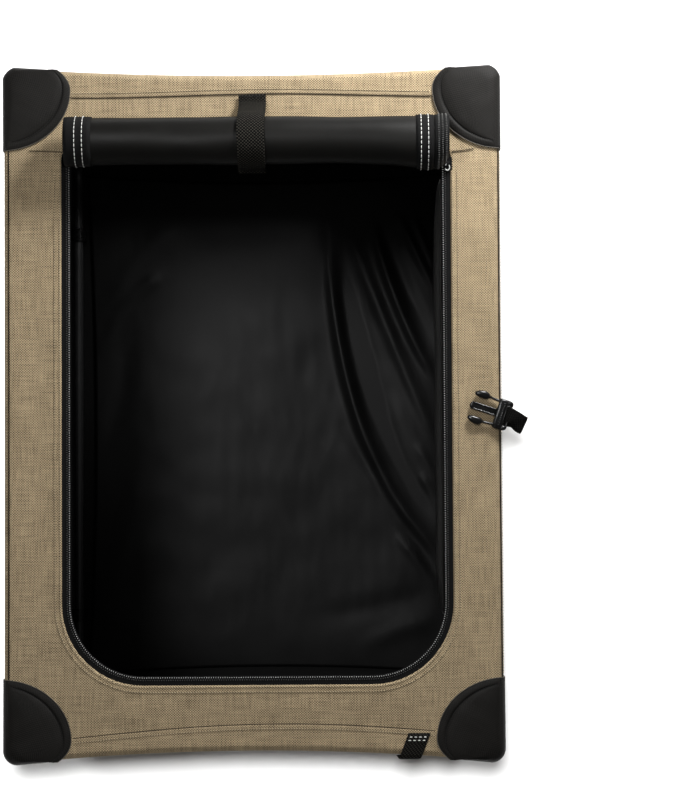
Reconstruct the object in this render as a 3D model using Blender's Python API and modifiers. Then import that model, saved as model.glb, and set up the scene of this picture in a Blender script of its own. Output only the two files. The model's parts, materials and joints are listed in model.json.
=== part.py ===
"""Folding pet kennel: fabric walls round a tube frame that folds flat on knee-jointed legs.

Metres, +Z up. The origin is the middle of the flat underside. +Y is the rear, where the
roof door is rolled up, and +X is the right-hand side.
"""
import math

import bmesh
import bpy
from mathutils import Matrix, Vector
from mathutils.geometry import convex_hull_2d

# Overall size of the erect kennel, over its corner patches
WIDTH = 0.546
LENGTH = 0.762
HEIGHT = 0.533

# Clearances
GAP = 0.0003
TUBE_ROOM = 0.0028
FOLD_ROOM = 0.0004
EDGE_ROOM = 0.0010

# Sheet stock
FABRIC_T = 0.0016
PATCH_T = 0.0015
NET_T = 0.0012
TAPE_T = 0.0012
WEBBING_T = 0.0016

# Bands round the roof and the base, and how far their edges draw in between the corners
ROOF_BAND_H = 0.036
BASE_BAND_H = 0.034
CORNER_R = 0.012
SIDE_SAG = 0.002
ROOF_END_SAG = 0.009
BASE_END_SAG = 0.002

# Corner patches: a leaf whose widest point lies a little way in from the end edge
LEAF_X = 0.075
LEAF_SHIFT = 0.027
LEAF_TO_SIDE = 0.066
LEAF_TO_END = 0.050

# Tube frames
TUBE_R = 0.00635
FRAME_CORNER_R = 0.035
LEG_CORNER_R = 0.025
PIVOT_INSET = 0.0117
END_WALL_ROOM = 0.0030
END_TUBE_ROOM = 0.0040
LEG_INSET = 0.017

# Knee knuckles on the leg ends
KNUCKLE_WALL = 0.00285
KNEE_ROOM = 0.0045
KNUCKLE_L = 0.034
KNUCKLE_START = 0.016
BORE_END_WALL = 0.0037
EAR_R = 0.006
EAR_T = 0.006
EAR_GAP = 0.001
EAR_ROOT = 0.012
PIN_R = 0.0025
PIN_END = 0.001

# Pivot clips, in which the crossbars of the legs turn
CLIP_WALL = 0.00285
CLIP_W = 0.016
CLIP_TO_LEG = 0.093
CLIP_HEEL = 0.005

# Side windows
SIDE_WINDOW_BORDER = 0.0935
SIDE_WINDOW_LOW = 0.10
WINDOW_CORNER_R = 0.04
NET_LAP = 0.010
NOTCH_Y = 0.010
NOTCH_Z = 0.024

# Front door, with its zip, and rear window, set in from the edges of the end walls
DOOR_SIDE = 0.070
DOOR_LOW = 0.055
DOOR_HEAD = 0.040
DOOR_CORNER_R = 0.05
ZIP_SLIT = 0.0010
ZIP_HALF = 0.008
DOOR_FRAME = 0.060
REAR_WINDOW_SIDE = 0.100
REAR_WINDOW_LOW = 0.16
REAR_WINDOW_HEAD = 0.115

# Roof door: the roof's borders round the opening, and the door rolled up at its rear edge
HATCH_BORDER_LEFT = 0.0637
HATCH_BORDER_RIGHT = 0.0517
HATCH_BORDER_FRONT = 0.0822
HATCH_BORDER_REAR = 0.0902
HATCH_CORNER_R = 0.09
HATCH_REAR_R = 0.010
ROLL_R = 0.024
ROLL_BACK = 0.0125
ROLL_END_INSET = 0.0065
ROLL_CLOTH = 0.0032
ROLL_PITCH = 0.0044
ROLL_TURNS = 3.25
ROLL_STRAP_W = 0.030
ROLL_STRAP_X = 0.001
ROLL_STRAP_SEWN = 0.013
ROLL_STRAP_HEEL = 0.0095
ROLL_STRAP_TOE = 0.005
ROLL_STRAP_END = 0.0055

# Zip sliders and the roof slider's pull
SLIDER_L = 0.014
SLIDER_W = 0.0086
SLIDER_T = 0.0016
SLIDER_INSET = 0.0047
SLIDER_BACK = 0.0175
ARCH_W = 0.003
ARCH_WALL = 0.0011
ARCH_R = 0.0011
PULL_T = 0.0012
PULL_W = 0.0080
PULL_L = 0.0140
PULL_EYE = 0.0052
PULL_EYE_W = 0.0042
PULL_HOLE_L = 0.0050
PULL_TIP_R = 0.0036
FRONT_TAB_L = 0.018
FRONT_TAB_W = 0.006
FRONT_TAB_T = 0.0016
FRONT_TAB_RISE = 0.0010
FRONT_TAB_LAP = 0.0021

# Floor pad
PAD_EDGE_X = 0.035
PAD_EDGE_Y = 0.051
PAD_T = 0.007
PAD_LIFT = 0.0022
PAD_FOLD = 0.008
PAD_DRAWN_IN = 0.012
PAD_STEPS_X = 20
PAD_STEPS_Y = 28

# Tab on the front edge of the roof
TAB_W = 0.024
TAB_TO_SIDE = 0.094
TAB_TO_FRONT = 0.033
TAB_SLANT = math.radians(23.9)
TAB_DROP = 0.022

# Closure straps and the side-release buckle
STRAP_W = 0.020
STRAP_Y = -0.0067
STRAP_SEWN = 0.012
STRAP_LEAVES = 0.021
STRAP_FOLD_OUT = 0.0165
STRAP_BULGE = 0.006
BUCKLE_SKEW = math.radians(18.3)
BUCKLE_W = 0.033
BUCKLE_ARM = 0.0054
MALE_T = 0.005
MALE_BAR_OUT = 0.0098
MALE_BODY_L = 0.0145
PRONG_L = 0.023
PRONG_W = 0.0042
PRONG_HOOK = 0.0022
PRONG_HEAD_L = 0.0104
PRONG_BARB_L = 0.0023
PRONG_TIP_W = 0.0025
TONGUE_W = 0.0060
TONGUE_SHORT = 0.0069
BAR_R = 0.0017
HOOK_ROOM = 0.0004
HOOK_SLOT = 0.0055
FEMALE_T = 0.009
FEMALE_L = 0.0275
FEMALE_WALL = 0.0017
FEMALE_BACK = 0.0035
FEMALE_BAR_OUT = 0.0078
FEMALE_BAR_Z = 0.0105
BASE_STRAP_TOP = 0.026

# Smoothness of round pieces, bends and drawn-in edges
ARC_STEPS = 6
ROUND = 24
BEND_STEPS = 5
FOLD_STEPS = 4
HOOK_STEPS = 8
SAG_STEPS = 8

# Places worked out from the sizes above
BAND_X = WIDTH / 2 - PATCH_T - GAP
BAND_Y = LENGTH / 2 - PATCH_T - GAP
BAND_CORNER_R = CORNER_R - PATCH_T - GAP
PANEL_TOP = HEIGHT - PATCH_T - GAP
PANEL_LOW = PANEL_TOP - FABRIC_T
ROOF_BAND_TOP = PANEL_LOW - GAP
ROOF_BAND_LOW = ROOF_BAND_TOP - ROOF_BAND_H
END_WALL_Y = BAND_Y - FABRIC_T - ROOF_END_SAG - END_WALL_ROOM
FRAME_X = BAND_X - FABRIC_T - SIDE_SAG - GAP - TUBE_R
FRAME_Y = END_WALL_Y - FABRIC_T - END_TUBE_ROOM
BASE_TUBE_Z = FABRIC_T + GAP + TUBE_R
ROOF_TUBE_Z = PANEL_LOW - GAP - TUBE_R
PIVOT_RISE = 2 * TUBE_R + TUBE_ROOM
PIVOT_X = FRAME_X - PIVOT_INSET
BASE_PIVOT_Z = BASE_TUBE_Z + PIVOT_RISE
ROOF_PIVOT_Z = ROOF_TUBE_Z - PIVOT_RISE
BORE_R = TUBE_R + GAP
KNUCKLE_HALF = BORE_R + KNUCKLE_WALL
KNEE_X = PIVOT_X + KNUCKLE_HALF + KNEE_ROOM
KNEE_Z = (BASE_PIVOT_Z + ROOF_PIVOT_Z) / 2
LEG_Y = FRAME_Y - LEG_INSET
CLIP_Y = LEG_Y - CLIP_TO_LEG
SIDE_WALL_X = KNEE_X - FOLD_ROOM
SIDE_WALL_Y = END_WALL_Y - FABRIC_T - EDGE_ROOM / 2
END_WALL_X = SIDE_WALL_X - FABRIC_T - EDGE_ROOM
END_WALL_LOW = BASE_TUBE_Z + TUBE_R + EDGE_ROOM
END_WALL_TOP = ROOF_TUBE_Z - TUBE_R - EDGE_ROOM
SIDE_WINDOW_Y = SIDE_WALL_Y - SIDE_WINDOW_BORDER
DOOR_HALF_X = END_WALL_X - DOOR_SIDE
DOOR_HIGH = END_WALL_TOP - DOOR_HEAD
REAR_WINDOW_X = END_WALL_X - REAR_WINDOW_SIDE
REAR_WINDOW_HIGH = END_WALL_TOP - REAR_WINDOW_HEAD
HATCH_LEFT = HATCH_BORDER_LEFT - BAND_X
HATCH_RIGHT = BAND_X - HATCH_BORDER_RIGHT
HATCH_FRONT = HATCH_BORDER_FRONT - BAND_Y
HATCH_REAR = BAND_Y - HATCH_BORDER_REAR
TAB_X = WIDTH / 2 - TAB_TO_SIDE
TAB_Y = TAB_TO_FRONT - LENGTH / 2
MALE_BAR_X = BAND_X + MALE_BAR_OUT
FEMALE_BAR_X = BAND_X + FEMALE_BAR_OUT
STRAP_FACE_X = BAND_X - SIDE_SAG + GAP + WEBBING_T / 2
HOOK_R = BAR_R + HOOK_ROOM + WEBBING_T / 2
MALE_Z = PANEL_TOP + 2 * GAP + MALE_T / 2
ROLL_Y = HATCH_REAR + ROLL_BACK
ROLL_Z = PANEL_TOP + GAP + ROLL_R
ROLL_LEFT = HATCH_LEFT + ROLL_END_INSET
ROLL_RIGHT = HATCH_RIGHT - ROLL_END_INSET
STRAP_FOOT_Y = ROLL_Y + ROLL_R + ROLL_STRAP_HEEL
STRAP_TOE_Y = ROLL_Y - ROLL_R - ROLL_STRAP_TOE
SLIDER_X = HATCH_RIGHT - SLIDER_INSET
SLIDER_Y = HATCH_REAR - SLIDER_BACK
SLIDER_LOW = PANEL_LOW
PULL_Z = SLIDER_LOW + SLIDER_T + ARCH_R + GAP

SIDES = {"left": -1, "right": 1}
ENDS = {"front": -1, "rear": 1}

FINISHES = {
    "tan_fabric": ((152, 134, 106), 0.90, 0.0),
    "black_fabric": ((42, 41, 39), 0.85, 0.0),
    "black_nylon": ((36, 36, 36), 0.45, 0.0),
    "mesh": ((30, 30, 30), 0.70, 0.0),
    "webbing": ((40, 39, 37), 0.75, 0.0),
    "zipper": ((60, 60, 60), 0.55, 0.0),
    "plastic": ((22, 22, 23), 0.40, 0.0),
    "frame_tube": ((52, 52, 52), 0.45, 0.0),
}

# The floor pad's folds, which lean along its length: place, lean, spread and share of the height
PAD_FOLDS = ((0.10, 0.30, 0.022, 1.0), (0.17, 0.12, 0.018, 0.7), (-0.15, -0.10, 0.020, 0.6))

# Which way a flat outline's own u, v and thickness point in the world
PLANES = {
    "XY": Matrix(((1, 0, 0, 0), (0, 1, 0, 0), (0, 0, 1, 0), (0, 0, 0, 1))),
    "XZ": Matrix(((1, 0, 0, 0), (0, 0, -1, 0), (0, 1, 0, 0), (0, 0, 0, 1))),
    "YZ": Matrix(((0, 0, 1, 0), (1, 0, 0, 0), (0, 1, 0, 0), (0, 0, 0, 1))),
}
NORMALS = {"XY": Vector((0, 0, 1)), "XZ": Vector((0, 1, 0)), "YZ": Vector((1, 0, 0))}


class Kennel:
    """The collections, materials and joint axes that the pieces are placed with."""

    def __init__(self):
        for thing in list(bpy.data.objects):
            bpy.data.objects.remove(thing, do_unlink=True)
        self.parts = self.collection("folding_pet_kennel")
        self.cutters = self.collection("cutters")
        self.materials = {name: self.material(name, *look) for name, look in FINISHES.items()}
        self.axes = {}

    @staticmethod
    def collection(name):
        group = bpy.data.collections.new(name)
        bpy.context.scene.collection.children.link(group)
        return group

    @staticmethod
    def material(name, colour, roughness, metallic):
        """A material from a screen colour of 0 to 255 a channel."""
        finish = bpy.data.materials.new(name)
        finish.use_nodes = True
        shader = finish.node_tree.nodes["Principled BSDF"]
        linear = [(level / 255) ** 2.2 for level in colour]
        shader.inputs["Base Color"].default_value = (*linear, 1)
        shader.inputs["Roughness"].default_value = roughness
        shader.inputs["Metallic"].default_value = metallic
        return finish

    def axis(self, name, place, parent=None):
        """An empty on a joint's axis, which carries what turns or slides there."""
        empty = bpy.data.objects.new(name, None)
        empty.location = place
        empty.empty_display_size = 0.03
        self.parts.objects.link(empty)
        self.axes[name] = Vector(place)
        if parent:
            self.carry(empty, parent)

    def carry(self, thing, axis):
        thing.parent = bpy.data.objects[axis]
        thing.matrix_parent_inverse = Matrix.Translation(self.axes[axis]).inverted()

    def keep(self, piece, finish, axis=None):
        """Make an object one of the kennel's pieces, with its finish and what carries it."""
        for group in list(piece.users_collection):
            group.objects.unlink(piece)
        self.parts.objects.link(piece)
        piece.data.materials.clear()
        piece.data.materials.append(self.materials[finish])
        if axis:
            self.carry(piece, axis)
        return piece

    def tool(self, name, data, matrix=None):
        """Link new geometry as a guide that isn't drawn, until keep() makes it a piece."""
        thing = bpy.data.objects.new(name, data)
        self.cutters.objects.link(thing)
        if matrix is not None:
            thing.matrix_world = matrix
        return thing

    @staticmethod
    def hide(cutter):
        cutter.hide_render = True
        cutter.display_type = 'WIRE'

    def boolean(self, piece, other, operation='DIFFERENCE'):
        """Cut a piece by another mesh, or join or intersect the two."""
        step = piece.modifiers.new(operation.lower(), 'BOOLEAN')
        step.operation = operation
        step.object = other
        self.hide(other)
        return piece

    def plate(self, name, loops, near, far, plane="XY"):
        """A flat outline with any holes in it, thick from near to far along the third axis."""
        curve = bpy.data.curves.new(name, 'CURVE')
        curve.dimensions = '2D'
        curve.fill_mode = 'BOTH'
        curve.extrude = abs(far - near) / 2
        for loop in loops:
            spline = curve.splines.new('POLY')
            spline.points.add(len(loop) - 1)
            for point, (u, v) in zip(spline.points, loop):
                point.co = (u, v, 0, 1)
            spline.use_cyclic_u = True
        middle = NORMALS[plane] * (near + far) / 2
        return self.tool(name, curve, Matrix.Translation(middle) @ PLANES[plane])

    def solid(self, thing):
        """Turn an outline or tube into a closed mesh that can be cut."""
        bpy.context.view_layer.update()
        graph = bpy.context.evaluated_depsgraph_get()
        mesh = bpy.data.meshes.new_from_object(thing.evaluated_get(graph))
        name, matrix = thing.name, thing.matrix_world.copy()
        old = thing.data
        bpy.data.objects.remove(thing)
        bpy.data.curves.remove(old)
        form = bmesh.new()
        form.from_mesh(mesh)
        bmesh.ops.remove_doubles(form, verts=form.verts, dist=0.00001)
        bmesh.ops.recalc_face_normals(form, faces=form.faces)
        form.to_mesh(mesh)
        form.free()
        return self.tool(name, mesh, matrix)

    def tube(self, name, points, radius, closed=False):
        curve = bpy.data.curves.new(name, 'CURVE')
        curve.dimensions = '3D'
        curve.bevel_depth = radius
        curve.bevel_resolution = 4
        curve.use_fill_caps = not closed
        spline = curve.splines.new('POLY')
        spline.points.add(len(points) - 1)
        for point, place in zip(spline.points, points):
            point.co = (*place, 1)
        spline.use_cyclic_u = closed
        spline.use_smooth = True
        return self.tool(name, curve)

    def box(self, name, first, second):
        """A box between two opposite corners."""
        form = bmesh.new()
        bmesh.ops.create_cube(form, size=1.0)
        for vert in form.verts:
            vert.co = Vector([a + (b - a) * (c + 0.5) for a, b, c in zip(first, second, vert.co)])
        bmesh.ops.recalc_face_normals(form, faces=form.faces)
        mesh = bpy.data.meshes.new(name)
        form.to_mesh(mesh)
        form.free()
        return self.tool(name, mesh)

    def rod(self, name, start, end, radius):
        """A round bar between two points."""
        start, end = Vector(start), Vector(end)
        form = bmesh.new()
        bmesh.ops.create_cone(form, cap_ends=True, segments=ROUND, radius1=radius,
                              radius2=radius, depth=(end - start).length)
        mesh = bpy.data.meshes.new(name)
        form.to_mesh(mesh)
        form.free()
        turn = Vector((0, 0, 1)).rotation_difference(end - start).to_matrix().to_4x4()
        return self.tool(name, mesh, Matrix.Translation((start + end) / 2) @ turn)

    def ribbon(self, name, stations, width, thickness):
        """A strap lofted through (centre, direction across it) stations."""
        form = bmesh.new()
        rings = []
        centres = [Vector(centre) for centre, _ in stations]
        for index, (_, across) in enumerate(stations):
            ahead = centres[min(index + 1, len(centres) - 1)] - centres[max(index - 1, 0)]
            side = Vector(across).normalized()
            face = ahead.cross(side).normalized()
            ring = []
            for s, f in ((1, 1), (-1, 1), (-1, -1), (1, -1)):
                place = centres[index] + side * s * width / 2 + face * f * thickness / 2
                ring.append(form.verts.new(place))
            rings.append(ring)
        for ring, after in zip(rings, rings[1:]):
            for corner in range(4):
                other = (corner + 1) % 4
                form.faces.new((ring[corner], ring[other], after[other], after[corner]))
        form.faces.new(rings[0])
        form.faces.new(rings[-1])
        bmesh.ops.recalc_face_normals(form, faces=form.faces)
        mesh = bpy.data.meshes.new(name)
        form.to_mesh(mesh)
        form.free()
        return self.tool(name, mesh)


def arc(middle, radius, start, end, steps=ARC_STEPS):
    """Points on an arc, from one angle to another in degrees."""
    points = []
    for step in range(steps + 1):
        angle = math.radians(start + (end - start) * step / steps)
        points.append((middle[0] + radius * math.cos(angle), middle[1] + radius * math.sin(angle)))
    return points


def circle(middle, radius):
    return arc(middle, radius, 0, 360 - 360 / ROUND, ROUND - 1)


def rounded(corners, closed=True, steps=ARC_STEPS):
    """A path through (u, v, radius) corners, with an arc at each corner that has a radius."""
    points = []
    count = len(corners)
    for index, (u, v, radius) in enumerate(corners):
        corner = Vector((u, v))
        if radius == 0 or (not closed and index in (0, count - 1)):
            points.append((u, v))
            continue
        before = (Vector(corners[index - 1][:2]) - corner).normalized()
        after = (Vector(corners[(index + 1) % count][:2]) - corner).normalized()
        half = before.angle(after) / 2
        middle = corner + (before + after).normalized() * radius / math.sin(half)
        start = corner + before * radius / math.tan(half) - middle
        end = corner + after * radius / math.tan(half) - middle
        sweep = math.atan2(start.x * end.y - start.y * end.x, start.dot(end))
        first = math.degrees(math.atan2(start.y, start.x))
        points += arc(middle, radius, first, first + math.degrees(sweep), steps)
    return points


def rectangle(left, low, right, high, radius=0):
    return rounded([(left, low, radius), (right, low, radius),
                    (right, high, radius), (left, high, radius)])


def drawn_in(half_x, half_y, side_sag, end_sag, radius, steps=SAG_STEPS):
    """A rounded rectangle whose four edges draw in between the corners."""
    run_x, run_y = half_x - radius, half_y - radius
    shares = [2 * step / steps - 1 for step in range(1, steps)]
    right = [(half_x - side_sag * (1 - share ** 2), run_y * share) for share in shares]
    rear = [(-run_x * share, half_y - end_sag * (1 - share ** 2)) for share in shares]
    half = right + arc((run_x, run_y), radius, 0, 90, 4)
    half += rear + arc((-run_x, run_y), radius, 90, 180, 4)
    return half + [(-x, -y) for x, y in half]


def roof_outline(outset=0.0):
    """The roof band's outer face, or a line at some distance outside it."""
    return drawn_in(BAND_X + outset, BAND_Y + outset, SIDE_SAG, ROOF_END_SAG,
                    BAND_CORNER_R + outset)


def base_outline(outset=0.0):
    return drawn_in(BAND_X + outset, BAND_Y + outset, SIDE_SAG, BASE_END_SAG,
                    BAND_CORNER_R + outset)


def strip(path, thickness):
    """The outline of a strip of cloth or webbing seen edge-on along a path."""
    points = [Vector(point) for point in path]
    left, right = [], []
    for index, point in enumerate(points):
        ahead = points[min(index + 1, len(points) - 1)] - points[max(index - 1, 0)]
        ahead.normalize()
        across = Vector((-ahead.y, ahead.x)) * thickness / 2
        left.append(tuple(point + across))
        right.append(tuple(point - across))
    return left + right[::-1]


def tangent(middle, radius, point, turn):
    """The angle in degrees where a line from a point touches a circle."""
    away = Vector(point) - Vector(middle)
    facing = math.atan2(away.y, away.x)
    return math.degrees(facing + turn * math.acos(radius / away.length))


def leaf(side, end):
    """A corner patch's plan, which runs past the band's corner to be trimmed to it."""
    edge_x, edge_y = WIDTH / 2 + EDGE_ROOM, LENGTH / 2 + EDGE_ROOM
    middle_x, middle_y = WIDTH / 2, LENGTH / 2 - LEAF_SHIFT
    points = [(edge_x, middle_y - LEAF_TO_SIDE)]
    for step in range(7):
        angle = math.radians(90 * step / 6)
        points.append((middle_x - LEAF_X * math.sin(angle), middle_y - LEAF_TO_SIDE * math.cos(angle)))
    last = math.degrees(math.asin(LEAF_SHIFT / LEAF_TO_END))
    for step in range(1, 4):
        angle = math.radians(last * step / 3)
        points.append((middle_x - LEAF_X * math.cos(angle), middle_y + LEAF_TO_END * math.sin(angle)))
    points += [(points[-1][0], edge_y), (edge_x, edge_y)]
    return [(side * x, end * y) for x, y in points]


def corner_patches(kennel):
    """Roof patches lie on the roof and wrap its band; base patches wrap the base band."""
    wrap = PATCH_T + GAP
    roof_skin = kennel.solid(kennel.plate("roof_patch_trim", [roof_outline(wrap)],
                                          ROOF_BAND_LOW - EDGE_ROOM, HEIGHT + EDGE_ROOM))
    roof_core = kennel.solid(kennel.plate("roof_patch_core", [roof_outline(GAP)],
                                          ROOF_BAND_LOW - EDGE_ROOM, HEIGHT - PATCH_T))
    base_skin = kennel.solid(kennel.plate("base_patch_trim", [base_outline(wrap)],
                                          -EDGE_ROOM, BASE_BAND_H + EDGE_ROOM))
    base_core = kennel.solid(kennel.plate("base_patch_core", [base_outline(GAP)],
                                          -EDGE_ROOM, BASE_BAND_H + EDGE_ROOM))
    for side_name, side in SIDES.items():
        for end_name, end in ENDS.items():
            place = f"{end_name}_{side_name}"
            patch = kennel.solid(kennel.plate(f"roof_corner_patch_{place}", [leaf(side, end)],
                                              ROOF_BAND_LOW, HEIGHT))
            kennel.boolean(patch, roof_skin, 'INTERSECT')
            kennel.boolean(patch, roof_core)
            kennel.keep(patch, "black_fabric", "roof_axis")
            patch = kennel.solid(kennel.plate(f"base_corner_patch_{place}", [leaf(side, end)],
                                              0, BASE_BAND_H))
            kennel.boolean(patch, base_skin, 'INTERSECT')
            kennel.boolean(patch, base_core)
            kennel.keep(patch, "black_fabric")


def tube_frame(kennel, name, height, axis=None):
    """A rectangle of tube with rounded corners, lying flat."""
    loop = rectangle(-FRAME_X, -FRAME_Y, FRAME_X, FRAME_Y, FRAME_CORNER_R)
    frame = kennel.tube(name, [(x, y, height) for x, y in loop], TUBE_R, closed=True)
    kennel.keep(frame, "frame_tube", axis)


def base_shell(kennel):
    band = [base_outline(), base_outline(-FABRIC_T)]
    kennel.keep(kennel.plate("base_band", band, 0, BASE_BAND_H), "tan_fabric")
    sheet = base_outline(-FABRIC_T - GAP)
    kennel.keep(kennel.plate("base_sheet", [sheet], 0, FABRIC_T), "black_nylon")
    tube_frame(kennel, "base_frame", BASE_TUBE_Z)


def fold_height(x, y):
    """Soft folds of the loose floor pad: two run aslant on the right, one on the left."""
    height = 0.0
    for ridge_x, lean, spread, share in PAD_FOLDS:
        off = x - ridge_x - lean * y * abs(y) / (LENGTH / 2)
        height += share * math.exp(-(off / spread) ** 2)
    return PAD_FOLD * min(height, 1.0)


def floor_pad(kennel):
    """A loose padded liner: a grid with its folds and drawn-in sides, made solid."""
    half_x, half_y = WIDTH / 2 - PAD_EDGE_X, LENGTH / 2 - PAD_EDGE_Y
    form = bmesh.new()
    bmesh.ops.create_grid(form, x_segments=PAD_STEPS_X, y_segments=PAD_STEPS_Y, size=1.0)
    for vert in form.verts:
        u, v = vert.co.x, vert.co.y
        x = u * (half_x - PAD_DRAWN_IN * (1 - v ** 2))
        y = v * (half_y - PAD_DRAWN_IN * (1 - u ** 2))
        vert.co = (x, y, PAD_LIFT + PAD_T + fold_height(x, y) * (1 - u ** 6) * (1 - v ** 6))
    mesh = bpy.data.meshes.new("floor_pad")
    form.to_mesh(mesh)
    form.free()
    pad = kennel.tool("floor_pad", mesh)
    step = pad.modifiers.new("thickness", 'SOLIDIFY')
    step.thickness = PAD_T
    step.offset = -1
    kennel.keep(pad, "black_nylon")


def pivot_clips(kennel):
    """Blocks with a ring round each crossbar: four stand on the base, four hang on the roof."""
    outer = BORE_R + CLIP_WALL
    reach = math.sqrt(outer ** 2 - CLIP_HEEL ** 2)
    first = math.degrees(math.atan2(-reach, CLIP_HEEL))
    back = outer - GAP
    last = 180 + math.degrees(math.acos(back / outer))
    ring = arc((0, 0), outer, first, last, 20)
    for side_name, side in SIDES.items():
        for end_name, end in ENDS.items():
            place = f"{end_name}_{side_name}"
            low, high = end * CLIP_Y - CLIP_W / 2, end * CLIP_Y + CLIP_W / 2
            for body, pivot, foot, up in (("base", BASE_PIVOT_Z, FABRIC_T + GAP, 1),
                                          ("roof", ROOF_PIVOT_Z, PANEL_LOW - GAP, -1)):
                drop = up * (foot - pivot)
                shape = ring + [(-back, drop), (CLIP_HEEL, drop)]
                loops = [[(side * (PIVOT_X + u), pivot + up * v) for u, v in shape],
                         circle((side * PIVOT_X, pivot), BORE_R)]
                clip = kennel.plate(f"{body}_pivot_clip_{place}", loops, low, high, "XZ")
                kennel.keep(clip, "plastic", "roof_axis" if body == "roof" else None)


def knuckle(kennel, name, side, end, up, axis):
    """A leg end's knee fitting: a socket for the tube and an ear on the knee pin.

    up is 1 on a lower leg, whose ear points up to the knee and carries the pin, and -1 on an
    upper leg, whose ear has the pin's hole.
    """
    def place(out, along, rise):
        return Vector((side * (KNEE_X + out), end * (LEG_Y + along), KNEE_Z + up * rise))

    back, front = -KNEE_ROOM - 2 * KNUCKLE_HALF, -KNEE_ROOM
    foot, head = -KNUCKLE_START - KNUCKLE_L, -KNUCKLE_START
    block = kennel.box(name, place(back, -KNUCKLE_HALF, foot), place(front, KNUCKLE_HALF, head))
    corners = circle((0, 0), EAR_R)
    corners += [(back, head - EAR_ROOT), (front, head - EAR_ROOT)]
    hull = [corners[index] for index in convex_hull_2d([Vector(c) for c in corners])]
    outline = [(side * (KNEE_X + out), KNEE_Z + up * rise) for out, rise in hull]
    layer = (-EAR_GAP, -EAR_GAP - EAR_T) if up > 0 else (EAR_GAP, EAR_GAP + EAR_T)
    near, far = sorted(end * (LEG_Y + along) for along in layer)
    ear = kennel.solid(kennel.plate(f"{name}_ear", [outline], near, far, "XZ"))
    kennel.boolean(block, ear, 'UNION')
    middle = -KNEE_ROOM - KNUCKLE_HALF
    bore = kennel.rod(f"{name}_bore", place(middle, 0, foot - EDGE_ROOM),
                      place(middle, 0, head - BORE_END_WALL), BORE_R)
    kennel.boolean(block, bore)
    pin_end = EAR_GAP + EAR_T + PIN_END
    if up > 0:
        pin = kennel.rod(f"{name}_pin", place(0, -EAR_GAP - EAR_T / 2, 0), place(0, pin_end, 0), PIN_R)
        kennel.boolean(block, pin, 'UNION')
    else:
        hole = kennel.rod(f"{name}_hole", place(0, 0, 0), place(0, pin_end, 0), PIN_R + GAP)
        kennel.boolean(block, hole)
    kennel.keep(block, "plastic", axis)


def leg_frame(kennel, name, side, up, axis):
    """A U of tube: the crossbar turns in the pivot clips and the legs end in the knuckles."""
    pivot = BASE_PIVOT_Z if up > 0 else ROOF_PIVOT_Z
    tip = KNEE_Z - up * (KNUCKLE_START + BORE_END_WALL + GAP)
    corners = [(-LEG_Y, tip, 0), (-LEG_Y, pivot, LEG_CORNER_R),
               (LEG_Y, pivot, LEG_CORNER_R), (LEG_Y, tip, 0)]
    path = rounded(corners, closed=False)
    frame = kennel.tube(name, [(side * PIVOT_X, y, z) for y, z in path], TUBE_R)
    kennel.keep(frame, "frame_tube", axis)


def side_wall_half(kennel, name, side, up, axis):
    """Half of a side wall, between a frame and the knee line, with its half of the window."""
    edge = KNEE_Z - FOLD_ROOM
    notch_y, notch_z = LEG_Y - NOTCH_Y, KNEE_Z - NOTCH_Z
    half = [(SIDE_WALL_Y, BASE_PIVOT_Z, 0), (SIDE_WALL_Y, notch_z, 0), (notch_y, notch_z, 0),
            (notch_y, edge, 0), (SIDE_WINDOW_Y, edge, 0),
            (SIDE_WINDOW_Y, SIDE_WINDOW_LOW, WINDOW_CORNER_R)]
    corners = half + [(-y, z, radius) for y, z, radius in reversed(half)]
    outline = rounded(corners)
    flip = [(y, z if up > 0 else 2 * KNEE_Z - z) for y, z in outline]
    near, far = sorted((side * (SIDE_WALL_X - FABRIC_T), side * SIDE_WALL_X))
    kennel.keep(kennel.plate(f"{name}_panel", [flip], near, far, "YZ"), "tan_fabric", axis)
    low = SIDE_WINDOW_LOW - NET_LAP
    net = rectangle(-SIDE_WINDOW_Y - NET_LAP, low, SIDE_WINDOW_Y + NET_LAP, edge)
    flip = [(y, z if up > 0 else 2 * KNEE_Z - z) for y, z in net]
    face = SIDE_WALL_X - FABRIC_T - GAP
    near, far = sorted((side * (face - NET_T), side * face))
    kennel.keep(kennel.plate(f"{name}_mesh", [flip], near, far, "YZ"), "mesh", axis)


def side_walls(kennel):
    for side_name, side in SIDES.items():
        for half_name, up in (("lower", 1), ("upper", -1)):
            name = f"{side_name}_{half_name}"
            axis = f"{name}_axis"
            leg_frame(kennel, f"{name}_frame", side, up, axis)
            side_wall_half(kennel, name, side, up, axis)
            for end_name, end in ENDS.items():
                knuckle(kennel, f"{name}_knuckle_{end_name}", side, end, up, axis)


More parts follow.
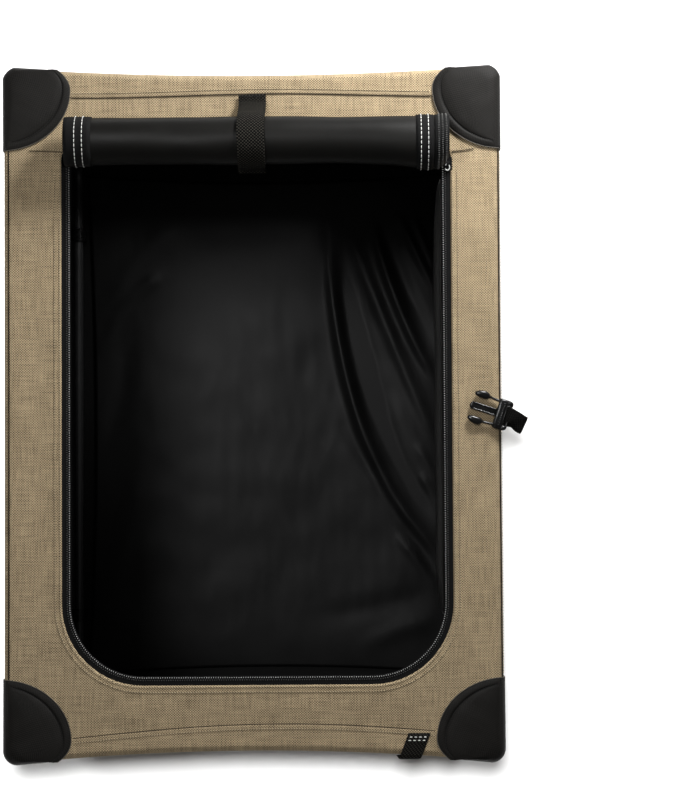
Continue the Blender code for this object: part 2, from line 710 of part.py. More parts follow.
def end_walls(kennel):
    """The front wall has a zipped door with a mesh window, the rear wall a mesh window."""
    inner, outer = END_WALL_Y - FABRIC_T, END_WALL_Y
    wall = rectangle(-END_WALL_X, END_WALL_LOW, END_WALL_X, END_WALL_TOP, EDGE_ROOM)
    slit = ZIP_SLIT / 2
    doorway = door_outline(slit)
    kennel.keep(kennel.plate("front_wall", [wall, doorway], -outer, -inner, "XZ"), "tan_fabric")
    window = door_outline(-DOOR_FRAME)
    kennel.keep(kennel.plate("front_door", [door_outline(-slit), window], -outer, -inner, "XZ"),
                "tan_fabric")
    tape = [door_outline(ZIP_HALF), door_outline(-ZIP_HALF)]
    kennel.keep(kennel.plate("front_zipper", tape, -outer - GAP - TAPE_T, -outer - GAP, "XZ"),
                "zipper")
    net = door_outline(NET_LAP - DOOR_FRAME)
    kennel.keep(kennel.plate("front_door_mesh", [net], -inner + GAP, -inner + GAP + NET_T, "XZ"),
                "mesh")
    window = rectangle(-REAR_WINDOW_X, REAR_WINDOW_LOW, REAR_WINDOW_X, REAR_WINDOW_HIGH,
                       WINDOW_CORNER_R)
    kennel.keep(kennel.plate("rear_wall", [wall, window], inner, outer, "XZ"), "tan_fabric")
    lap = NET_LAP
    net = rectangle(-REAR_WINDOW_X - lap, REAR_WINDOW_LOW - lap, REAR_WINDOW_X + lap,
                    REAR_WINDOW_HIGH + lap, WINDOW_CORNER_R)
    kennel.keep(kennel.plate("rear_window_mesh", [net], inner - GAP - NET_T, inner - GAP, "XZ"),
                "mesh")


def door_outline(outset):
    """The front door's edge, or a line some distance outside it."""
    half = DOOR_HALF_X + outset
    return rectangle(-half, DOOR_LOW - outset, half, DOOR_HIGH + outset,
                     max(DOOR_CORNER_R + outset, EDGE_ROOM))


def hatch_outline(outset=0.0):
    """The roof opening's edge, or a line some distance outside it."""
    left, right = HATCH_LEFT - outset, HATCH_RIGHT + outset
    front, rear = HATCH_FRONT - outset, HATCH_REAR
    return rounded([(left, front, HATCH_CORNER_R + outset), (right, front, HATCH_CORNER_R + outset),
                    (right, rear, HATCH_REAR_R), (left, rear, HATCH_REAR_R)])


def hatch_tape():
    """The zip's U-shaped tape, from one rear corner of the opening round to the other."""
    end = HATCH_REAR - HATCH_REAR_R
    sides = []
    for outset in (ZIP_HALF, -ZIP_HALF):
        left, right, front = HATCH_LEFT - outset, HATCH_RIGHT + outset, HATCH_FRONT - outset
        radius = HATCH_CORNER_R + outset
        sides.append(rounded([(left, end, 0), (left, front, radius), (right, front, radius),
                              (right, end, 0)], closed=False))
    return sides[0] + sides[1][::-1]


def roof_shell(kennel):
    panel = [roof_outline(), hatch_outline()]
    kennel.keep(kennel.plate("roof_panel", panel, PANEL_LOW, PANEL_TOP), "tan_fabric", "roof_axis")
    band = [roof_outline(), roof_outline(-FABRIC_T)]
    kennel.keep(kennel.plate("roof_band", band, ROOF_BAND_LOW, ROOF_BAND_TOP), "tan_fabric",
                "roof_axis")
    tube_frame(kennel, "roof_frame", ROOF_TUBE_Z, "roof_axis")
    top = PANEL_LOW - GAP
    kennel.keep(kennel.plate("roof_zipper", [hatch_tape()], top - TAPE_T, top), "zipper",
                "roof_axis")


def door_roll(kennel):
    """The roof door rolled up on the rear of the roof, and the strap that holds the roll."""
    path = []
    steps = round(ROLL_TURNS * ROUND)
    for step in range(steps + 1):
        turns = step / ROUND
        angle = math.radians(-90) - 2 * math.pi * turns
        radius = ROLL_R - ROLL_CLOTH / 2 - ROLL_PITCH * turns
        path.append((ROLL_Y + radius * math.cos(angle), ROLL_Z + radius * math.sin(angle)))
    roll = kennel.plate("door_roll", [strip(path, ROLL_CLOTH)], ROLL_LEFT, ROLL_RIGHT, "YZ")
    kennel.keep(roll, "black_nylon", "roof_axis")
    middle = (ROLL_Y, ROLL_Z)
    over = ROLL_R + GAP + WEBBING_T / 2
    flat = PANEL_TOP + GAP + WEBBING_T / 2
    first = tangent(middle, over, (STRAP_FOOT_Y, flat), 1)
    last = tangent(middle, over, (STRAP_TOE_Y, flat), -1) % 360
    path = [(STRAP_FOOT_Y + ROLL_STRAP_SEWN, flat), (STRAP_FOOT_Y, flat)]
    path += arc(middle, over, first, last, 2 * ARC_STEPS)
    path += [(STRAP_TOE_Y, flat), (STRAP_TOE_Y - ROLL_STRAP_END, flat)]
    near, far = ROLL_STRAP_X - ROLL_STRAP_W / 2, ROLL_STRAP_X + ROLL_STRAP_W / 2
    strap = kennel.plate("roll_strap", [strip(path, WEBBING_T)], near, far, "YZ")
    kennel.keep(strap, "webbing", "roof_axis")


def arch_loops(middle, height, foot):
    """A slider's arch seen from the side, standing on its plate, with the pull's window."""
    outer = ARCH_R + ARCH_WALL
    shape = arc((middle, height), outer, 0, 180, 8) + [(middle - outer, foot), (middle + outer, foot)]
    return [shape, circle((middle, height), ARCH_R)]


def roof_zip(kennel):
    """The roof zip's slider, and its pull, which turns in the slider's arch."""
    x, y = SLIDER_X, SLIDER_Y
    top = SLIDER_LOW + SLIDER_T
    body = kennel.box("roof_zip_slider", (x - SLIDER_W / 2, y - SLIDER_L / 2, SLIDER_LOW),
                      (x + SLIDER_W / 2, y + SLIDER_L / 2, top))
    arch = kennel.plate("roof_zip_arch", arch_loops(y, PULL_Z, top - SLIDER_T / 2),
                        x - ARCH_W / 2, x + ARCH_W / 2, "YZ")
    kennel.boolean(body, kennel.solid(arch), 'UNION')
    kennel.keep(body, "plastic", "roof_zip_axis")
    bar = PULL_T / 2
    tip = y - PULL_L
    half = PULL_W / 2
    outline = rounded([(x - half, y + bar, 0), (x - half, tip, PULL_TIP_R),
                       (x + half, tip, PULL_TIP_R), (x + half, y + bar, 0)])
    eye = rectangle(x - PULL_EYE_W / 2, y - bar - PULL_EYE, x + PULL_EYE_W / 2, y - bar)
    grip = rectangle(x - PULL_EYE_W / 2, tip + bar * 2, x + PULL_EYE_W / 2,
                     tip + bar * 2 + PULL_HOLE_L, PULL_EYE_W / 2 - GAP)
    pull = kennel.plate("roof_zip_pull", [outline, eye, grip], PULL_Z - bar, PULL_Z + bar)
    kennel.keep(pull, "zipper", "roof_zip_pull_axis")


def front_zip(kennel):
    """The front door's slider on the top run of its zip, with its tab hanging down."""
    face = -END_WALL_Y - 2 * GAP - TAPE_T
    body = kennel.box("front_zip_slider", (-SLIDER_L / 2, face - SLIDER_T, DOOR_HIGH - SLIDER_W / 2),
                      (SLIDER_L / 2, face, DOOR_HIGH + SLIDER_W / 2))
    tab = kennel.box("front_zip_tab",
                     (-FRONT_TAB_W / 2, face - FRONT_TAB_RISE - FRONT_TAB_T, DOOR_HIGH - FRONT_TAB_L),
                     (FRONT_TAB_W / 2, face - FRONT_TAB_RISE, DOOR_HIGH + FRONT_TAB_LAP))
    kennel.boolean(body, tab, 'UNION')
    kennel.keep(body, "plastic", "front_zip_axis")


def roof_edge_y(x):
    """How far out the roof band's front or rear edge lies at some place along it."""
    run = BAND_X - BAND_CORNER_R
    return BAND_Y - ROOF_END_SAG * (1 - (x / run) ** 2)


def front_pull_tab(kennel):
    """A webbing tab sewn on the roof, aslant, and turned down over the front edge."""
    lean = Vector((-math.sin(TAB_SLANT), -math.cos(TAB_SLANT), 0))
    across = Vector((math.cos(TAB_SLANT), -math.sin(TAB_SLANT), 0))
    flat = PANEL_TOP + GAP + WEBBING_T / 2
    start = Vector((TAB_X, TAB_Y, flat))
    edge = -roof_edge_y(TAB_X)
    turn = 2 * WEBBING_T
    run = (start.y - (edge - turn + WEBBING_T)) / math.cos(TAB_SLANT)
    bend = start + lean * run
    stations = [(start, across), (start + lean * run / 2, across)]
    for step in range(BEND_STEPS):
        share = step / (BEND_STEPS - 1)
        angle = math.radians(90 * share)
        place = bend + Vector((0, -turn * math.sin(angle), turn * (math.cos(angle) - 1)))
        stations.append((place, across.lerp(Vector((1, 0, 0)), share)))
    foot = stations[-1][0] - Vector((0, 0, TAB_DROP))
    stations.append((foot, (1, 0, 0)))
    tab = kennel.ribbon("front_pull_tab", stations, TAB_W, WEBBING_T)
    kennel.keep(tab, "webbing", "roof_axis")


def curve_between(first, control, last, steps):
    """Points on a smooth bend from one point to another, pulled towards a third."""
    points = []
    for step in range(1, steps + 1):
        share = step / steps
        points.append(first.lerp(control, share).lerp(control.lerp(last, share), share))
    return points


def closure_straps(kennel):
    """The roof strap bulges out and folds back to the male half's bar; the base strap ends at
    the female half's bar. Each strap's end is hooked round its bar."""
    out = Vector((math.cos(BUCKLE_SKEW), -math.sin(BUCKLE_SKEW), 0))
    wide = Vector((math.sin(BUCKLE_SKEW), math.cos(BUCKLE_SKEW), 0))
    rise = Vector((0, 0, 1))
    bar = Vector((MALE_BAR_X, STRAP_Y, MALE_Z))
    fold_r = HOOK_R / 2
    sewn = Vector((STRAP_FACE_X, STRAP_Y, ROOF_BAND_LOW + STRAP_SEWN / 2))
    leaves = sewn + rise * (STRAP_LEAVES - STRAP_SEWN)
    fold = bar + out * STRAP_FOLD_OUT - rise * (HOOK_R + fold_r)
    stations = [(sewn, (0, 1, 0)), (leaves, (0, 1, 0))]
    control = leaves + rise * (fold.z - leaves.z - STRAP_BULGE / 2) + out * STRAP_BULGE / 2
    bend = curve_between(leaves, control, fold - rise * fold_r, BEND_STEPS)
    for index, place in enumerate(bend):
        stations.append((place, Vector((0, 1, 0)).lerp(wide, (index + 1) / BEND_STEPS)))
    for step in range(1, FOLD_STEPS + 1):
        angle = math.radians(-90 + 180 * step / FOLD_STEPS)
        stations.append((fold + (out * math.cos(angle) + rise * math.sin(angle)) * fold_r, wide))
    for step in range(HOOK_STEPS + 1):
        angle = math.radians(-90 - 210 * step / HOOK_STEPS)
        stations.append((bar + (out * math.cos(angle) + rise * math.sin(angle)) * HOOK_R, wide))
    strap = kennel.ribbon("closure_strap", stations, STRAP_W, WEBBING_T)
    kennel.keep(strap, "webbing", "roof_axis")

    bar = Vector((FEMALE_BAR_X, STRAP_Y, FEMALE_BAR_Z))
    top = Vector((STRAP_FACE_X, STRAP_Y, BASE_STRAP_TOP))
    under = bar - rise * HOOK_R
    turn = Vector((STRAP_FACE_X, STRAP_Y, FEMALE_BAR_Z + HOOK_R))
    control = Vector((STRAP_FACE_X, STRAP_Y, under.z))
    places = [top, turn] + curve_between(turn, control, under, BEND_STEPS)
    for step in range(1, HOOK_STEPS + 1):
        angle = math.radians(-90 + 210 * step / HOOK_STEPS)
        places.append(bar + Vector((math.cos(angle), 0, math.sin(angle))) * HOOK_R)
    strap = kennel.ribbon("base_closure_strap", [(place, (0, 1, 0)) for place in places],
                          STRAP_W, WEBBING_T)
    kennel.keep(strap, "webbing")


def male_buckle(kennel):
    """Two hooked prongs and a tongue on a body, with an open slot behind closed by the bar."""
    half, slot = BUCKLE_W / 2, BUCKLE_W / 2 - BUCKLE_ARM
    start = HOOK_SLOT
    body = start + MALE_BODY_L
    tip = body + PRONG_L
    inner = half - PRONG_W - PRONG_HOOK
    side = [(-BAR_R - EDGE_ROOM, slot), (-BAR_R - EDGE_ROOM, half), (body, half),
            (body, inner + PRONG_W), (tip - PRONG_HEAD_L, inner + PRONG_W),
            (tip - PRONG_HEAD_L + PRONG_BARB_L, half), (tip, inner + PRONG_TIP_W), (tip, inner),
            (body + PRONG_W, inner), (body, inner - PRONG_W / 2), (body, TONGUE_W / 2),
            (tip - TONGUE_SHORT, TONGUE_W / 2)]
    outline = [(start, slot)] + side + [(p, -w) for p, w in reversed(side)] + [(start, -slot)]
    plate = kennel.plate("buckle_male", [outline], -MALE_T / 2, MALE_T / 2)
    buckle = kennel.solid(plate)
    bar = kennel.rod("buckle_male_bar", (0, -slot - BUCKLE_ARM / 2, 0), (0, slot + BUCKLE_ARM / 2, 0),
                     BAR_R)
    turn = Matrix.Rotation(math.pi - BUCKLE_SKEW, 4, 'Z')
    move = Matrix.Translation((MALE_BAR_X, STRAP_Y, MALE_Z)) @ turn
    buckle.matrix_world = move @ buckle.matrix_world
    bar.matrix_world = move @ bar.matrix_world
    kennel.boolean(buckle, bar, 'UNION')
    kennel.keep(buckle, "plastic", "male_buckle_axis")


def female_buckle(kennel):
    """A socket that stands on its bar beside the base band, its mouth up, its sides open."""
    half, slot = BUCKLE_W / 2, BUCKLE_W / 2 - BUCKLE_ARM
    x, y, z = FEMALE_BAR_X, STRAP_Y, FEMALE_BAR_Z
    foot = -BAR_R - EDGE_ROOM
    mouth = HOOK_SLOT + FEMALE_L
    outline = [(-half, foot), (-slot, foot), (-slot, HOOK_SLOT), (slot, HOOK_SLOT), (slot, foot),
               (half, foot), (half, mouth), (-half, mouth)]
    loop = [(y + w, z + p) for w, p in outline]
    buckle = kennel.solid(kennel.plate("buckle_female", [loop], x - FEMALE_T / 2, x + FEMALE_T / 2,
                                       "YZ"))
    bar = kennel.rod("buckle_female_bar", (x, y - slot - BUCKLE_ARM / 2, z),
                     (x, y + slot + BUCKLE_ARM / 2, z), BAR_R)
    kennel.boolean(buckle, bar, 'UNION')
    bottom = z + HOOK_SLOT + FEMALE_BACK
    hollow = kennel.box("buckle_female_hollow",
                        (x - FEMALE_T / 2 + FEMALE_WALL, y - half + FEMALE_WALL, bottom),
                        (x + FEMALE_T / 2 - FEMALE_WALL, y + half - FEMALE_WALL, z + mouth + EDGE_ROOM))
    kennel.boolean(buckle, hollow)
    window = kennel.box("buckle_female_window",
                        (x - FEMALE_T / 2 + FEMALE_WALL, y - half - EDGE_ROOM, bottom + FEMALE_BACK),
                        (x + FEMALE_T / 2 - FEMALE_WALL, y + half + EDGE_ROOM,
                         z + mouth - 2 * FEMALE_BACK))
    kennel.boolean(buckle, window)
    kennel.keep(buckle, "plastic", "female_buckle_axis")


def joint_axes(kennel):
    """An empty on each joint's axis: the left legs carry the roof, as in the folding order."""
    kennel.axis("left_lower_axis", (-PIVOT_X, 0, BASE_PIVOT_Z))
    kennel.axis("left_upper_axis", (-KNEE_X, 0, KNEE_Z), "left_lower_axis")
    kennel.axis("roof_axis", (-PIVOT_X, 0, ROOF_PIVOT_Z), "left_upper_axis")
    kennel.axis("right_lower_axis", (PIVOT_X, 0, BASE_PIVOT_Z))
    kennel.axis("right_upper_axis", (KNEE_X, 0, KNEE_Z), "right_lower_axis")
    kennel.axis("roof_zip_axis", (SLIDER_X, SLIDER_Y, SLIDER_LOW), "roof_axis")
    kennel.axis("roof_zip_pull_axis", (SLIDER_X, SLIDER_Y, PULL_Z), "roof_zip_axis")
    kennel.axis("front_zip_axis", (0, -END_WALL_Y, DOOR_HIGH), "roof_axis")
    kennel.axis("male_buckle_axis", (MALE_BAR_X, STRAP_Y, MALE_Z), "roof_axis")
    kennel.axis("female_buckle_axis", (FEMALE_BAR_X, STRAP_Y, FEMALE_BAR_Z))


def main():
    kennel = Kennel()
    joint_axes(kennel)
    base_shell(kennel)
    floor_pad(kennel)
    pivot_clips(kennel)
    side_walls(kennel)
    end_walls(kennel)
    roof_shell(kennel)
    corner_patches(kennel)
    door_roll(kennel)
    roof_zip(kennel)
    front_zip(kennel)
    front_pull_tab(kennel)
    closure_straps(kennel)
    male_buckle(kennel)
    female_buckle(kennel)


main()
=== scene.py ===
"""The folding pet kennel dressed: woven covers, nets, zips, webbing, tubes and moulded parts.

Metres, +Z up, in the frame's own coordinates. The camera looks down on the roof from a little
in front of straight above.
"""
import json
import math
import random

import bpy
import numpy as np
from mathutils import Matrix, Vector, noise

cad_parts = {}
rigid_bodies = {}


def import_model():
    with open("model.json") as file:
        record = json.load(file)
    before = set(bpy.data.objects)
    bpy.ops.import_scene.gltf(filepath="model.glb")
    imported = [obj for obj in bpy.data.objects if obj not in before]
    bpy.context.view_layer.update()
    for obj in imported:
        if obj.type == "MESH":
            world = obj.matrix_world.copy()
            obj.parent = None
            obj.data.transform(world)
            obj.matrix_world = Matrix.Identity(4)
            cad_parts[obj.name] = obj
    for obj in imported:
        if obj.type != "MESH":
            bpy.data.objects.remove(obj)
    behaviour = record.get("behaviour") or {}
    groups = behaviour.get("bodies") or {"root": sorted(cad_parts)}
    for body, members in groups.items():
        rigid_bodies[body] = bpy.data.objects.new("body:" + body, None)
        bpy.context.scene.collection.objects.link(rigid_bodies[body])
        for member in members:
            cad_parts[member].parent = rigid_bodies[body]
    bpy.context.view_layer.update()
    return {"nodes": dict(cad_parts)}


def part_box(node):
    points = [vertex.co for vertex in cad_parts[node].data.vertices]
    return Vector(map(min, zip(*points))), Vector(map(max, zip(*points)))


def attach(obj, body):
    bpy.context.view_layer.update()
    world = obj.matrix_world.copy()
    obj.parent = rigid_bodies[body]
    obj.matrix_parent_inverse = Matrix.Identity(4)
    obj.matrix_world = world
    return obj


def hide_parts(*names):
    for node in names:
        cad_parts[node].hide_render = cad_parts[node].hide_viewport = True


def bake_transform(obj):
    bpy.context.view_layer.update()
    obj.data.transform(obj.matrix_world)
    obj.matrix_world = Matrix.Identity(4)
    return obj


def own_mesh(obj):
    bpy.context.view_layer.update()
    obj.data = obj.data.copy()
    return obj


for thing in list(bpy.data.objects):
    bpy.data.objects.remove(thing, do_unlink=True)
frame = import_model()

# Places and sizes taken from the frame
BAND_LOW, BAND_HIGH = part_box("roof_band")
HALF_X, HALF_Y, ROOF_BAND_LOW = BAND_HIGH.x, BAND_HIGH.y, BAND_LOW.z
ROOF_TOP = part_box("roof_panel")[1].z
BASE_BAND_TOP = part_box("base_band")[1].z
PATCH_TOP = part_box("roof_corner_patch_rear_left")[1].z
ROLL_LOW, ROLL_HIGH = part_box("door_roll")
SIDE_LOW, SIDE_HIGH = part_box("right_lower_panel")
SIDE_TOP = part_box("right_upper_panel")[1].z
KNEE_Z = (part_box("right_lower_mesh")[1].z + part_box("right_upper_mesh")[0].z) / 2
WALL_LOW, WALL_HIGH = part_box("rear_wall")
DOOR_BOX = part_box("front_door")

# How far the covers' edges draw in between the corners: the sides, then front and rear ends
SIDE_SAG = 0.0005
ROOF_SAGS = (0.0128, 0.0090)
BASE_SAGS = (0.0020, 0.0020)
BAND_CORNER_R = 0.0102
REAR_CORNER_R = 0.0130
EDGE_R = 0.0075
SKIN_T = 0.0008
TAPE_T = 0.0005

# A point inside the kennel, which its covers face away from
INSIDE = (0, 0, 0.27)

# Stitches: pitch, length and the thread's radius
HEM_STITCH = (0.0029, 0.0017, 0.00042)
BAND_STITCH = (0.0029, 0.0017, 0.00036)
EDGE_STITCH = (0.0031, 0.0019, 0.00034)
TRIM_STITCH = (0.0034, 0.0024, 0.00026)
STRAP_STITCH = (0.0030, 0.0022, 0.00036)

# The roof's opening and its corner radii
HATCH_LEFT, HATCH_RIGHT = -0.2080, 0.2170
HATCH_FRONT, HATCH_REAR = -0.2950, 0.289
HATCH_R = 0.088
HATCH_REAR_R = 0.010

# Samples round a cover: along a side, along an end and round a corner
SIDE_N, END_N, CORNER_N = 64, 48, 14

random.seed(7)


def screen(red, green, blue):
    """A screen colour of 0 to 255 a channel as a linear colour."""
    return (*(((level / 255 + 0.055) / 1.055) ** 2.4 for level in (red, green, blue)), 1)


class Finish:
    """A material whose nodes are added one at a time and linked by what they are given."""

    def __init__(self, name, **shader):
        self.material = bpy.data.materials.new(name)
        self.material.use_nodes = True
        self.tree = self.material.node_tree
        self.shader = self.tree.nodes["Principled BSDF"]
        for socket, value in shader.items():
            self.shader.inputs[socket.replace("_", " ")].default_value = value

    def add(self, kind, links=None, **settings):
        node = self.tree.nodes.new("ShaderNode" + kind)
        for key, value in settings.items():
            setattr(node, key, value)
        for socket, source in (links or {}).items():
            if isinstance(source, bpy.types.NodeSocket):
                self.tree.links.new(source, node.inputs[socket])
            else:
                node.inputs[socket].default_value = source
        return node

    def math(self, operation, *values):
        return self.add("Math", dict(enumerate(values)), operation=operation).outputs[0]

    def clamp(self, value):
        """A value held between 0 and 1."""
        return self.math('MINIMUM', self.math('MAXIMUM', value, 0.0), 1.0)

    def blend(self, share, low, high):
        """A colour between two screen colours."""
        ends = {0: share, 6: screen(*low), 7: screen(*high)}
        return self.add("Mix", ends, data_type='RGBA').outputs[2]

    def noise(self, place, scale, detail=2.0, roughness=0.5):
        links = {"Vector": place, "Scale": scale, "Detail": detail, "Roughness": roughness}
        return self.add("TexNoise", links).outputs["Fac"]

    def wave(self, value, pitch):
        """A sine of -1 to 1 that repeats at a pitch in metres."""
        return self.math('SINE', self.math('MULTIPLY', value, 2 * math.pi / pitch))

    def cloth_place(self):
        """The cloth's own u and v, in metres."""
        place = self.add("UVMap", uv_map="cloth").outputs[0]
        split = self.add("SeparateXYZ", {0: place}).outputs
        return split[0], split[1]

    def stretched(self, u, v, scale_u, scale_v):
        links = {0: self.math('MULTIPLY', u, scale_u), 1: self.math('MULTIPLY', v, scale_v)}
        return self.add("CombineXYZ", links).outputs[0]

    def finish(self, colour=None, roughness=None, height=None, strength=0.3, distance=0.0005):
        if colour is not None:
            self.tree.links.new(colour, self.shader.inputs["Base Color"])
        if roughness is not None:
            self.tree.links.new(roughness, self.shader.inputs["Roughness"])
        if height is not None:
            bump = self.add("Bump", {"Height": height, "Strength": strength, "Distance": distance})
            self.tree.links.new(bump.outputs[0], self.shader.inputs["Normal"])
        return self.material


def woven(name, dark, light, pitch, roughness, gloss):
    """Basket-woven cloth: pairs of yarns cross over and under, with a soft mottled shade.

    pitch is the weave's repeat across and along, each two crossings long.
    """
    cloth = Finish(name, Specular_IOR_Level=gloss)
    u, v = cloth.cloth_place()
    across, along = pitch
    crossing = cloth.math('MULTIPLY', cloth.wave(u, across), cloth.wave(v, along))
    over = cloth.math('MULTIPLY_ADD', cloth.math('MULTIPLY', crossing, 2.2), 0.5, 0.5)
    over = cloth.clamp(over)
    warp = cloth.noise(cloth.stretched(u, v, 2 / across, 0.1 / along), 1.0)
    weft = cloth.noise(cloth.stretched(u, v, 0.1 / across, 2 / along), 1.0)
    yarn = cloth.math('ADD', cloth.math('MULTIPLY', warp, 0.5), cloth.math('MULTIPLY', weft, 0.5))
    cloud = cloth.noise(cloth.stretched(u, v, 1, 1), 30.0, 3.0)
    fine_u, fine_v = cloth.wave(u, across / 4), cloth.wave(v, along / 4)
    ribs = cloth.add("Mix", {0: over, 2: fine_v, 3: fine_u}, data_type='FLOAT').outputs[0]
    shade = cloth.math('MULTIPLY_ADD', over, 0.72, cloth.math('MULTIPLY_ADD', yarn, 1.1, -0.41))
    shade = cloth.math('ADD', shade, cloth.math('MULTIPLY_ADD', cloud, 0.24, -0.12))
    shade = cloth.clamp(cloth.math('MULTIPLY_ADD', ribs, 0.05, shade))
    rough = cloth.math('MULTIPLY_ADD', yarn, 0.2, roughness - 0.1)
    height = cloth.math('MULTIPLY_ADD', ribs, 0.25, cloth.math('MULTIPLY', over, 0.9))
    return cloth.finish(cloth.blend(shade, dark, light), rough, height, 0.5, 0.0002)


def lining(name, dark, light, roughness, gloss):
    """Thin coated nylon: a hair-fine weave under a soft, slightly uneven gloss."""
    nylon = Finish(name, Specular_IOR_Level=gloss)
    u, v = nylon.cloth_place()
    place = nylon.stretched(u, v, 1, 1)
    cloud = nylon.noise(place, 22.0, 4.0, 0.55)
    slub = nylon.noise(nylon.stretched(u, v, 60, 900), 1.0)
    shade = nylon.math('ADD', nylon.math('MULTIPLY', cloud, 0.7), nylon.math('MULTIPLY', slub, 0.3))
    rough = nylon.math('MULTIPLY_ADD', cloud, 0.16, roughness - 0.08)
    fine = nylon.math('MULTIPLY', nylon.wave(u, 0.0009), nylon.wave(v, 0.0009))
    height = nylon.math('ADD', nylon.math('MULTIPLY', fine, 0.4), slub)
    return nylon.finish(nylon.blend(shade, dark, light), rough, height, 0.18, 0.0002)


def ribbed(name, dark, light, rib, roughness, gloss):
    """Narrow-woven webbing or tape: a point weave, pale where the yarns lie on top."""
    tape = Finish(name, Specular_IOR_Level=gloss)
    u, v = tape.cloth_place()
    slant, across = tape.wave(u, rib), tape.wave(v, rib * 0.92)
    yarn = tape.noise(tape.stretched(u, v, 700, 700), 1.0)
    over = tape.clamp(tape.math('MULTIPLY_ADD', tape.math('MULTIPLY', slant, across), 2.4, 0.10))
    shade = tape.math('MULTIPLY_ADD', over, 0.9, tape.math('MULTIPLY_ADD', yarn, 1.4, -0.80))
    shade = tape.clamp(shade)
    rough = tape.math('MULTIPLY_ADD', yarn, 0.2, roughness - 0.1)
    return tape.finish(tape.blend(shade, dark, light), rough, over, 0.6, rib * 0.25)


def moulded(name, dark, light, roughness, scale=900.0, strength=0.12, **shader):
    """Moulded or painted surfaces: a fine grain, with faint wear in the gloss."""
    part = Finish(name, **shader)
    place = part.add("TexCoord").outputs["Object"]
    grain = part.noise(place, scale, 2.0)
    wear = part.noise(place, 45.0, 4.0, 0.6)
    rough = part.math('MULTIPLY_ADD', wear, 0.22, roughness - 0.11)
    shade = part.math('ADD', part.math('MULTIPLY', wear, 0.8), part.math('MULTIPLY', grain, 0.2))
    return part.finish(part.blend(shade, dark, light), rough, grain, strength, 0.0002)


# Materials: dark and light screen colours, the weave's repeat or rib, roughness and gloss
TAN_WEAVE = (0.0029, 0.0027)
BLACK_WEAVE = (0.0026, 0.0028)
TAN = woven("tan_woven", (50, 42, 30), (208, 186, 150), TAN_WEAVE, 0.9, 0.15)
BLACK_CLOTH = woven("black_woven", (1, 1, 1), (34, 32, 29), BLACK_WEAVE, 0.60, 0.16)
COATING = lining("black_coating", (8, 8, 8), (16, 16, 16), 0.6, 0.15)
NYLON = lining("black_lining", (14, 14, 14), (27, 27, 27), 0.46, 0.24)
ROLL_NYLON = lining("black_roll_lining", (9, 9, 9), (22, 21, 18), 0.44, 0.15)
WEBBING = ribbed("black_webbing", (1, 1, 1), (58, 56, 51), 0.0037, 0.75, 0.04)
WEBBING_DARK = ribbed("dark_webbing", (2, 2, 2), (26, 25, 22), 0.0030, 0.75, 0.04)
ZIP_TAPE = ribbed("zip_tape", (5, 5, 5), (20, 20, 20), 0.0014, 0.75, 0.15)
NET = moulded("net_strand", (10, 10, 10), (24, 24, 24), 0.65)
PLASTIC = moulded("black_plastic", (5, 5, 5), (13, 13, 13), 0.26, Specular_IOR_Level=0.4)
COIL = moulded("zip_coil", (150, 150, 150), (220, 220, 218), 0.35)
# A darker copy of the coil's grey: painted shade, used for the roof zip's outer column, the rolled
# door's ribs and the front zip
COIL_PAINTED_SHADE = moulded("zip_coil_painted_shade", (52, 52, 52), (92, 92, 90), 0.4)
TUBE = moulded("painted_tube", (30, 30, 31), (48, 48, 48), 0.38, 600.0, 0.08)
METAL = moulded("bright_metal", (206, 206, 204), (236, 236, 234), 0.22, 400.0, 0.05,
                Metallic=0.35)
THREAD_GRAIN = (1500.0, 0.4)
TAN_THREAD = moulded("tan_thread", (176, 158, 126), (226, 210, 178), 0.75, *THREAD_GRAIN)
# Dark tan for short marks between stitches and thin lines along seams: painted shade of needle
# punctures and seam creases
TAN_PAINTED_SHADE = moulded("tan_painted_hole_shade", (46, 38, 27), (72, 60, 44), 0.9, *THREAD_GRAIN)
WHITE_THREAD = moulded("white_thread", (206, 206, 202), (250, 250, 246), 0.7, *THREAD_GRAIN)
BLACK_THREAD = moulded("black_thread", (3, 3, 3), (12, 12, 12), 0.7, *THREAD_GRAIN)
# A pale grey for a thin rod along each roof patch's free edge: a painted highlight
PALE_EDGE_HIGHLIGHT = moulded("painted_edge_highlight", (66, 62, 56), (116, 110, 100), 0.8, *THREAD_GRAIN)


